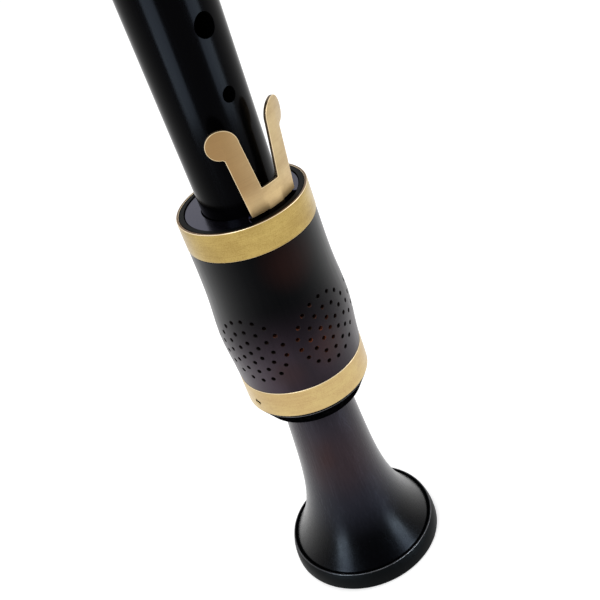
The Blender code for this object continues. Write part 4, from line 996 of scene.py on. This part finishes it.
# The left lobe's darker tan is painted shade.
TOUCH_LEFT_SHADE_TAN = (0.29, 0.170, 0.062, 1.0)
TOUCH_PALE = (0.52, 0.40, 0.215, 1.0)
# The lighter brass near the touch's foot is painted light.
TOUCH_FOOT_LIGHT = (0.72, 0.53, 0.27, 1.0)
TOUCH_DULL = (0.30, 0.19, 0.08, 1.0)
# A painted highlight for the touch's bevels, and painted shade for its sawn sides.
TOUCH_EDGE_HIGHLIGHT = (0.78, 0.62, 0.38, 1.0)
TOUCH_SIDE_SHADE = (0.085, 0.052, 0.024, 1.0)
TOUCH_SIDE_SHADE_DARK = (0.03, 0.018, 0.009, 1.0)
# The stem's near black is painted shade.
STEM_SHADE_BLACK = (0.004, 0.003, 0.002, 1.0)
STEM_SHADE_BROWN = (0.012, 0.008, 0.004, 1.0)


def arc(center, radius, start, end, steps):
    """Points on an arc round a (side, height) centre, angles in degrees."""
    return corner(center[0], center[1], radius, start, end, steps)


def touch_outline():
    shoulder_height = LOBE[1] + LOBE_RADIUS - SHOULDER
    half = [CROTCH]
    half += arc((LOBE[0], shoulder_height), SHOULDER, 180.0, 90.0, 18)
    half += arc(LOBE, LOBE_RADIUS, 84.0, -82.0, 26)
    half += [NOTCH, (TOUCH_BASE + 0.1, WIDE_FOOT), (STEM_HALF_WIDTH, WIDE_FOOT)]
    half += [(STEM_HALF_WIDTH, TOUCH_PIVOT_LEVEL - BARREL_TOP - 1.0)]
    return half + [(-s, v) for s, v in reversed(half)]


def make_touch():
    cuts = (WIDE_FOOT - 0.02, STEM_FOOT)
    touch = bent_plate(touch_outline(), 0.0, TOUCH_THICKNESS, TOUCH_EDGE, "swallow_tail_touch", cuts)
    touch.data.materials.append(make_touch_brass())
    # The bevels get a painted highlight and the sides painted shade.
    touch.data.materials.append(satin_brass("edge brass with painted highlight", TOUCH_EDGE_HIGHLIGHT, TOUCH_PALE, 0.3, 0.2, 0.28))
    touch.data.materials.append(satin_brass("side brass with painted shade", TOUCH_SIDE_SHADE, TOUCH_SIDE_SHADE_DARK, 0.5, 0.4, 0.40))
    touch.data.materials.append(satin_brass("stem brass with painted shade", STEM_SHADE_BLACK, STEM_SHADE_BROWN, 0.5, 0.4, 0.50))
    # Below the wide plate the stem is near black as painted shade.
    for face in touch.data.polygons:
        height = face.center.z / MM - BARREL_TOP
        if STEM_FOOT < height < WIDE_FOOT - 0.1:
            face.material_index = 3
    ends = [front(side * KNUCKLE_HALF_WIDTH, TOUCH_PIVOT, TOUCH_PIVOT_LEVEL) for side in (-1.0, 1.0)]
    knuckle = bar(ends[0], ends[1], KNUCKLE_RADIUS, name="knuckle")
    half = TAIL_HALF_THICKNESS
    tail = slab(
        [
            (TOUCH_PIVOT - half, TOUCH_PIVOT_LEVEL),
            (TAIL_MIDDLE - half, TAIL_BEND),
            (TAIL_MIDDLE - half, TAIL_CONTACT - half),
            (TAIL_MIDDLE + 0.3 * half, TAIL_CONTACT - half),
            (TAIL_MIDDLE + half, TAIL_CONTACT),
            (TAIL_MIDDLE + half, TAIL_BEND),
            (TOUCH_PIVOT + half, TOUCH_PIVOT_LEVEL),
        ],
        TAIL_HALF_WIDTH,
        "tail",
    )
    combine(touch, [knuckle, tail], "UNION")
    bore_ends = [front(side * 14.0, TOUCH_PIVOT, TOUCH_PIVOT_LEVEL) for side in (-1.0, 1.0)]
    combine(touch, [bar(bore_ends[0], bore_ends[1], AXLE_BORE)], "DIFFERENCE")
    touch.data.shade_smooth()
    touch.data.set_sharp_from_angle(angle=math.radians(32.0))
    return touch


def make_touch_brass():
    """Brass painted darker tan towards the left lobe and paler on the right as painted shade, and lighter near its foot
    as painted light.
    """
    material = satin_brass("touch brass", TOUCH_PALE, TOUCH_DULL, 0.30, 0.15, 0.42, 0.15)
    tree = material.node_tree
    place = tree.nodes.new("ShaderNodeTexCoord")
    split = tree.nodes.new("ShaderNodeSeparateXYZ")
    tree.links.new(place.outputs["Object"], split.inputs["Vector"])
    left_shade_mask = value_range(tree, split.outputs["X"], -19.0 * MM, 9.0 * MM, 0.0, 1.0)
    brushed = next(node for node in tree.nodes if node.type == "GROUP")
    metal = blend_colors(tree, left_shade_mask, TOUCH_LEFT_SHADE_TAN, TOUCH_PALE)
    foot_light_mask = level_mask(tree, BARREL_TOP, BARREL_TOP + 17.0, 0.85, 0.0)
    tree.links.new(blend_colors(tree, foot_light_mask, metal, TOUCH_FOOT_LIGHT), brushed.inputs["Metal"])
    return material


touch = make_touch()
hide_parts("key_touch")
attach(touch, "touch")

# Flap, saddles and spring
# The brass flap over the lowest hole, the two saddles that carry the axles, and the leaf spring of
# hard strip brass. They sit inside the barrel and keep their filed surfaces.
PLAIN_BRASS = (0.60, 0.42, 0.17, 1.0)
DULL_BRASS = (0.36, 0.23, 0.08, 1.0)
inner_brass = satin_brass("filed brass", PLAIN_BRASS, DULL_BRASS, 0.7, 0.5, 0.32)
spring_brass = satin_brass("spring brass", PLAIN_BRASS, DULL_BRASS, 0.3, 0.2, 0.24)
for name in ("key_flap", "touch_saddle", "flap_saddle"):
    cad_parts[name].data.materials.clear()
    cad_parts[name].data.materials.append(inner_brass)
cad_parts["flap_spring"].data.materials.clear()
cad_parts["flap_spring"].data.materials.append(spring_brass)

# Axles and saddle screws
# Turned steel pins and slotted screws, oiled, with a blued sheen.
STEEL = (0.30, 0.31, 0.34, 1.0)
STEEL_BLUE = (0.10, 0.12, 0.18, 1.0)
steel = satin_brass("oiled steel", STEEL, STEEL_BLUE, 0.5, 0.3, 0.22)
for name in (
    "touch_axle", "flap_axle", "touch_screw_lower", "touch_screw_upper", "flap_screw_lower", "flap_screw_upper"
):
    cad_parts[name].data.materials.clear()
    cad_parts[name].data.materials.append(steel)

# Pad
# A felt disc covered with soft kid leather, glued into the flap's cup.
KID = (0.62, 0.47, 0.30, 1.0)
KID_WORN = (0.42, 0.28, 0.16, 1.0)


def make_leather():
    material, tree, shader = new_material("kid leather")
    patches = value_range(tree, stretched_noise(tree, (260.0, 260.0, 260.0), 3.0), 0.4, 0.65, 0.0, 1.0)
    grain = stretched_noise(tree, (3200.0, 3200.0, 3200.0), 3.0)
    tree.links.new(blend_colors(tree, patches, KID, KID_WORN), shader.inputs["Base Color"])
    shader.inputs["Roughness"].default_value = 0.65
    add_bump(tree, shader, grain, 0.3, 0.0001)
    return material


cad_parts["key_pad"].data.materials.clear()
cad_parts["key_pad"].data.materials.append(make_leather())

# Head joint
# The upper tube of stained maple, bored for the block. The window with its labium and the windway
# are cut into its front, and it ends in a tenon for the cap.
HEAD_FOOT = 640.8
HEAD_END = 962.8
HEAD_SHOULDER = 926.8
HEAD_SOCKET_FLOOR = 670.8
HEAD_SOCKET_RADIUS = 16.9
HEAD_OUTER_FOOT = 24.4
HEAD_OUTER_TOP = 21.6
HEAD_RING_HEIGHT = 13.0
CAP_TENON_RADIUS = 18.4
SOUNDING_EDGE = 880.0
WINDOW_TOP = 892.5
WINDOW_HALF_WIDTH = 7.5
LABIUM_LENGTH = 42.0
LABIUM_EDGE = 13.4
WINDWAY_FLOOR = 10.4
WINDWAY_ROOF = 14.2


def make_head():
    seat = HEAD_OUTER_FOOT - RING_WALL - JOINT_GAP
    ring_top = HEAD_FOOT + HEAD_RING_HEIGHT + RING_SEAM
    low_radius = HEAD_OUTER_FOOT - 0.6
    shaped_foot = HEAD_SOCKET_FLOOR + 12.0
    shaped_top = HEAD_SOCKET_FLOOR + 60.0
    outline = [(HEAD_SOCKET_RADIUS, HEAD_FOOT), (seat, HEAD_FOOT), (seat, ring_top)]
    outline += [(HEAD_OUTER_FOOT - 0.35, ring_top), (HEAD_OUTER_FOOT - 0.2, ring_top + 0.2)]
    outline += [(low_radius, shaped_foot)]
    for step in range(1, 17):
        share = step / 16.0
        eased = 0.5 - 0.5 * math.cos(math.pi * share)
        radius = low_radius + (HEAD_OUTER_TOP + 1.0 - low_radius) * eased
        outline.append((radius, shaped_foot + (shaped_top - shaped_foot) * share))
    for step in range(1, 21):
        share = step / 20.0
        outline.append((HEAD_OUTER_TOP + 1.0 - share, shaped_top + (HEAD_SHOULDER - shaped_top) * share))
    outline += [(CAP_TENON_RADIUS, HEAD_SHOULDER)]
    outline += cork_seat(CAP_TENON_RADIUS, HEAD_SHOULDER + 8.0)
    outline += [(CAP_TENON_RADIUS, HEAD_END), (BORE_HEAD_RADIUS, HEAD_END)]
    outline += [(BORE_HEAD_RADIUS, HEAD_SOCKET_FLOOR), (HEAD_SOCKET_RADIUS, HEAD_SOCKET_FLOOR)]
    head = lathe("head_tube", outline)
    far_out = 34.0
    ramp_foot = SOUNDING_EDGE - LABIUM_LENGTH
    window = slab(
        [
            (WINDWAY_FLOOR, WINDOW_TOP),
            (far_out, WINDOW_TOP),
            (far_out, ramp_foot),
            (HEAD_OUTER_TOP + 1.6, ramp_foot),
            (LABIUM_EDGE, SOUNDING_EDGE),
            (WINDWAY_FLOOR, SOUNDING_EDGE),
        ],
        WINDOW_HALF_WIDTH,
    )
    windway_low = WINDOW_TOP - 2.0
    windway_high = HEAD_END + 2.0
    windway = slab(
        [
            (WINDWAY_FLOOR, windway_low),
            (WINDWAY_ROOF, windway_low),
            (WINDWAY_ROOF, windway_high),
            (WINDWAY_FLOOR, windway_high),
        ],
        WINDOW_HALF_WIDTH,
    )
    combine(head, [window, windway], "DIFFERENCE")
    round_normals(head, 0.995)
    return head


head = make_head()
head_wood = stained_wood("head wood", TUBE_BROWN, TUBE_BROWN, TUBE_ROUGHNESS, 0.35, 0.2, TUBE_IOR, TUBE_TINT)
head.data.materials.append(head_wood)
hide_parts("head_joint")
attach(head, "head")

head_ring = make_ring(
    "socket_ferrule", HEAD_OUTER_FOOT, HEAD_OUTER_FOOT, HEAD_FOOT, HEAD_FOOT + HEAD_RING_HEIGHT
)
lay_brass(head_ring, satin_brass("socket ring brass", UPPER_RING_GOLD, UPPER_RING_DEEP, 0.35, 0.6, 0.30))
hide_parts("head_ring")
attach(head_ring, "head")

# Block
# A plug of red cedar in the head's bore. Its flat is the floor of the windway, and its end shows in
# the window.
CEDAR = (0.42, 0.18, 0.075, 1.0)
CEDAR_DARK = (0.24, 0.085, 0.032, 1.0)


def make_cedar():
    material, tree, shader = new_material("cedar")
    rings = stretched_noise(tree, (520.0, 520.0, 14.0), 4.0, 0.55)
    share = value_range(tree, rings, 0.38, 0.62, 0.0, 1.0)
    tree.links.new(blend_colors(tree, share, CEDAR, CEDAR_DARK), shader.inputs["Base Color"])
    shader.inputs["Roughness"].default_value = 0.6
    add_bump(tree, shader, rings, 0.25, 0.0001)
    return material


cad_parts["block"].data.materials.clear()
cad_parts["block"].data.materials.append(make_cedar())

# Cap
# A turned cap over the block, with a blow hole in its back and a small knob. A brass ring guards
# its open end.
CAP_FOOT = 927.1
CAP_LENGTH = 88.0
CAP_BORE = 19.1
CAP_OUTER = 22.8
CAP_CAVITY_TOP = CAP_FOOT + 58.0
CAP_RING_HEIGHT = 10.0
CAP_KNOB_RADIUS = 6.0
CAP_KNOB_HEIGHT = 7.0
CAP_DOME_HEIGHT = 9.0
BLOW_HOLE_RADIUS = 3.6
BLOW_HOLE_LEVEL = CAP_FOOT + 50.0


def waisted(low, high, steps):
    """Points of a smooth turned line between two (radius, level) ends."""
    points = []
    for step in range(1, steps + 1):
        share = step / steps
        eased = 0.5 - 0.5 * math.cos(math.pi * share)
        points.append((low[0] + (high[0] - low[0]) * eased, low[1] + (high[1] - low[1]) * share))
    return points


def make_cap():
    seat = CAP_OUTER - RING_WALL - JOINT_GAP
    ring_top = CAP_FOOT + CAP_RING_HEIGHT + RING_SEAM
    dome_foot = CAP_FOOT + CAP_LENGTH - CAP_KNOB_HEIGHT - CAP_DOME_HEIGHT
    dome_top = dome_foot + CAP_DOME_HEIGHT
    waist = (CAP_OUTER - 1.6, CAP_FOOT + 0.45 * CAP_LENGTH)
    lip_foot = (CAP_OUTER - 0.8, dome_foot - 8.0)
    outline = [(0.0, CAP_CAVITY_TOP), (CAP_BORE, CAP_CAVITY_TOP), (CAP_BORE, CAP_FOOT), (seat, CAP_FOOT)]
    outline += [(seat, ring_top), (CAP_OUTER - 0.35, ring_top), (CAP_OUTER - 0.2, ring_top + 0.2)]
    outline += waisted((CAP_OUTER - 0.2, ring_top + 0.2), waist, 12)
    outline += waisted(waist, lip_foot, 8)
    outline += waisted(lip_foot, (CAP_OUTER + 0.6, dome_foot - 3.0), 5)
    outline += corner(CAP_OUTER - 0.7, dome_foot - 1.5, 1.5, -40.0, 60.0, 6)
    outline += waisted((CAP_OUTER - 0.2, dome_foot + 0.2), (0.62 * CAP_OUTER, dome_foot + 7.0), 8)
    outline += waisted((0.62 * CAP_OUTER, dome_foot + 7.0), (0.55 * CAP_KNOB_RADIUS, dome_top), 6)
    knob_middle = dome_top + 0.5 * CAP_KNOB_HEIGHT
    for step in range(1, 13):
        angle = math.radians(-62.0 + 152.0 * step / 12.0)
        radius = CAP_KNOB_RADIUS * math.cos(angle)
        outline.append((max(radius, 0.0), knob_middle + 0.5 * CAP_KNOB_HEIGHT * math.sin(angle)))
    outline[-1] = (0.0, CAP_FOOT + CAP_LENGTH)
    cap = lathe("blowing_cap", outline)
    hole = bar(front(0.0, -CAP_BORE + 3.0, BLOW_HOLE_LEVEL), front(0.0, -CAP_OUTER - 3.0, BLOW_HOLE_LEVEL), BLOW_HOLE_RADIUS)
    combine(cap, [hole], "DIFFERENCE")
    return cap


cap = make_cap()
cap.data.shade_smooth()
cap.data.set_sharp_from_angle(angle=math.radians(32.0))
cap_wood = stained_wood("cap wood", TUBE_BROWN, NECK_BROWN, TUBE_ROUGHNESS, 0.4, 0.3, TUBE_IOR, TUBE_TINT)
cap.data.materials.append(cap_wood)
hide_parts("cap")
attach(cap, "cap")

cap_ring = make_ring("cap_ferrule", CAP_OUTER, CAP_OUTER, CAP_FOOT, CAP_FOOT + CAP_RING_HEIGHT)
lay_brass(cap_ring, satin_brass("cap ring brass", UPPER_RING_GOLD, UPPER_RING_DEEP, 0.35, 0.6, 0.30))
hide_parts("cap_ring")
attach(cap_ring, "cap")

# Studio
# A white floor under soft lamps. Tall strip lamps at both sides give the black wood its streaks:
# one pair for the tube and what stands on it, a faint pair for the barrel and a low pair for the bell.
FLOOR_WHITE = (0.86, 0.86, 0.86, 1.0)
FLOOR_LIFT = 0.42
WORLD_LIGHT = 0.55
CAMERA_PLACE = (-0.20565, -0.32911, 0.40727)
CAMERA_RIGHT = (0.68533, -0.66880, -0.28815)
CAMERA_UP = (0.56045, 0.23175, 0.79510)
CAMERA_LENS = 56.94
STRIP_DISTANCE = 0.32
TUBE_STRIP = (0.150, 1.165)
BELL_STRIP = (0.0, 0.6)
STRIP_BLUE = (0.70, 0.87, 1.0)


def seen_or_mirrored(tree):
    """1 for what the camera sees directly, in a gloss or through glass."""
    path = tree.nodes.new("ShaderNodeLightPath")
    seen = calculate(tree, "MAXIMUM", path.outputs["Is Camera Ray"], path.outputs["Is Glossy Ray"])
    return calculate(tree, "MAXIMUM", seen, path.outputs["Is Transmission Ray"])


def make_floor():
    bpy.ops.mesh.primitive_plane_add(size=12.0, location=(0.0, 0.0, 0.0))
    floor = bpy.context.object
    floor.name = "studio_floor"
    material, tree, shader = new_material("white floor")
    shader.inputs["Base Color"].default_value = FLOOR_WHITE
    shader.inputs["Roughness"].default_value = 1.0
    shader.inputs["Specular IOR Level"].default_value = 0.0
    lift = calculate(tree, "MULTIPLY", seen_or_mirrored(tree), FLOOR_LIFT)
    shader.inputs["Emission Color"].default_value = (1.0, 1.0, 1.0, 1.0)
    tree.links.new(lift, shader.inputs["Emission Strength"])
    floor.data.materials.append(material)


def make_world():
    world = bpy.data.worlds.new("white studio")
    bpy.context.scene.world = world
    world.use_nodes = True
    tree = world.node_tree
    background = tree.nodes["Background"]
    background.inputs["Color"].default_value = (1.0, 1.0, 1.0, 1.0)
    lift = calculate(tree, "MULTIPLY", seen_or_mirrored(tree), 1.0 - WORLD_LIGHT)
    tree.links.new(calculate(tree, "ADD", lift, WORLD_LIGHT), background.inputs["Strength"])


def add_lamp(name, place, aim, width, height, power):
    lamp = bpy.data.lights.new(name, "AREA")
    lamp.shape = "RECTANGLE"
    lamp.size = width
    lamp.size_y = height
    lamp.energy = power
    holder = bpy.data.objects.new(name, lamp)
    holder.location = place
    holder.rotation_euler = (Vector(aim) - Vector(place)).to_track_quat("-Z", "Y").to_euler()
    holder.visible_camera = False
    bpy.context.scene.collection.objects.link(holder)
    return holder


def add_camera():
    camera = bpy.data.cameras.new("camera")
    camera.sensor_width = 36.0
    camera.lens = CAMERA_LENS
    camera.clip_start = 0.01
    holder = bpy.data.objects.new("camera", camera)
    right = Vector(CAMERA_RIGHT).normalized()
    up = Vector(CAMERA_UP).normalized()
    back = right.cross(up)
    turn = Matrix((right, up, back)).transposed().to_4x4()
    holder.matrix_world = Matrix.Translation(CAMERA_PLACE) @ turn
    bpy.context.scene.collection.objects.link(holder)
    bpy.context.scene.camera = holder


def add_wood_strip(name, azimuth, width, span, power, pieces):
    """A tall narrow lamp between two levels that puts a streak of gloss on some wooden pieces."""
    turn = math.radians(azimuth)
    outward = Vector((math.cos(turn), math.sin(turn), 0.0))
    height = 0.5 * (span[0] + span[1])
    place = outward * STRIP_DISTANCE + Vector((0.0, 0.0, height))
    strip = add_lamp(name, place, (0.0, 0.0, height), width, span[1] - span[0], power)
    strip.data.color = STRIP_BLUE
    strip.visible_diffuse = False
    wood = bpy.data.collections.new(name + " receivers")
    for piece in pieces:
        wood.objects.link(piece)
    strip.light_linking.receiver_collection = wood


make_floor()
make_world()
add_wood_strip("left tube strip", -165.5, 0.165, TUBE_STRIP, 11.5, (body, head, cap))
add_wood_strip("right tube strip", -70.0, 0.16, TUBE_STRIP, 9.7, (body, head, cap))
add_wood_strip("left barrel strip", -182.0, 0.10, TUBE_STRIP, 2.2, (barrel,))
add_wood_strip("right barrel strip", -61.0, 0.12, TUBE_STRIP, 1.8, (barrel,))
add_wood_strip("left bell strip", -170.0, 0.10, BELL_STRIP, 7.6, (foot,))
add_wood_strip("right bell strip", -71.0, 0.10, BELL_STRIP, 7.6, (foot,))
add_lamp("key lamp", (-1.1, -0.6, 1.5), (0.0, 0.0, 0.25), 0.9, 0.9, 12.0)
add_lamp("fill lamp", (1.2, -0.9, 1.0), (0.0, 0.0, 0.25), 0.9, 0.9, 7.0)
add_lamp("back lamp", (0.1, 1.3, 1.9), (0.0, 0.0, 0.4), 1.2, 0.8, 10.0)
add_camera()
bpy.context.scene.view_settings.view_transform = "Standard"

bpy.context.view_layer.update()
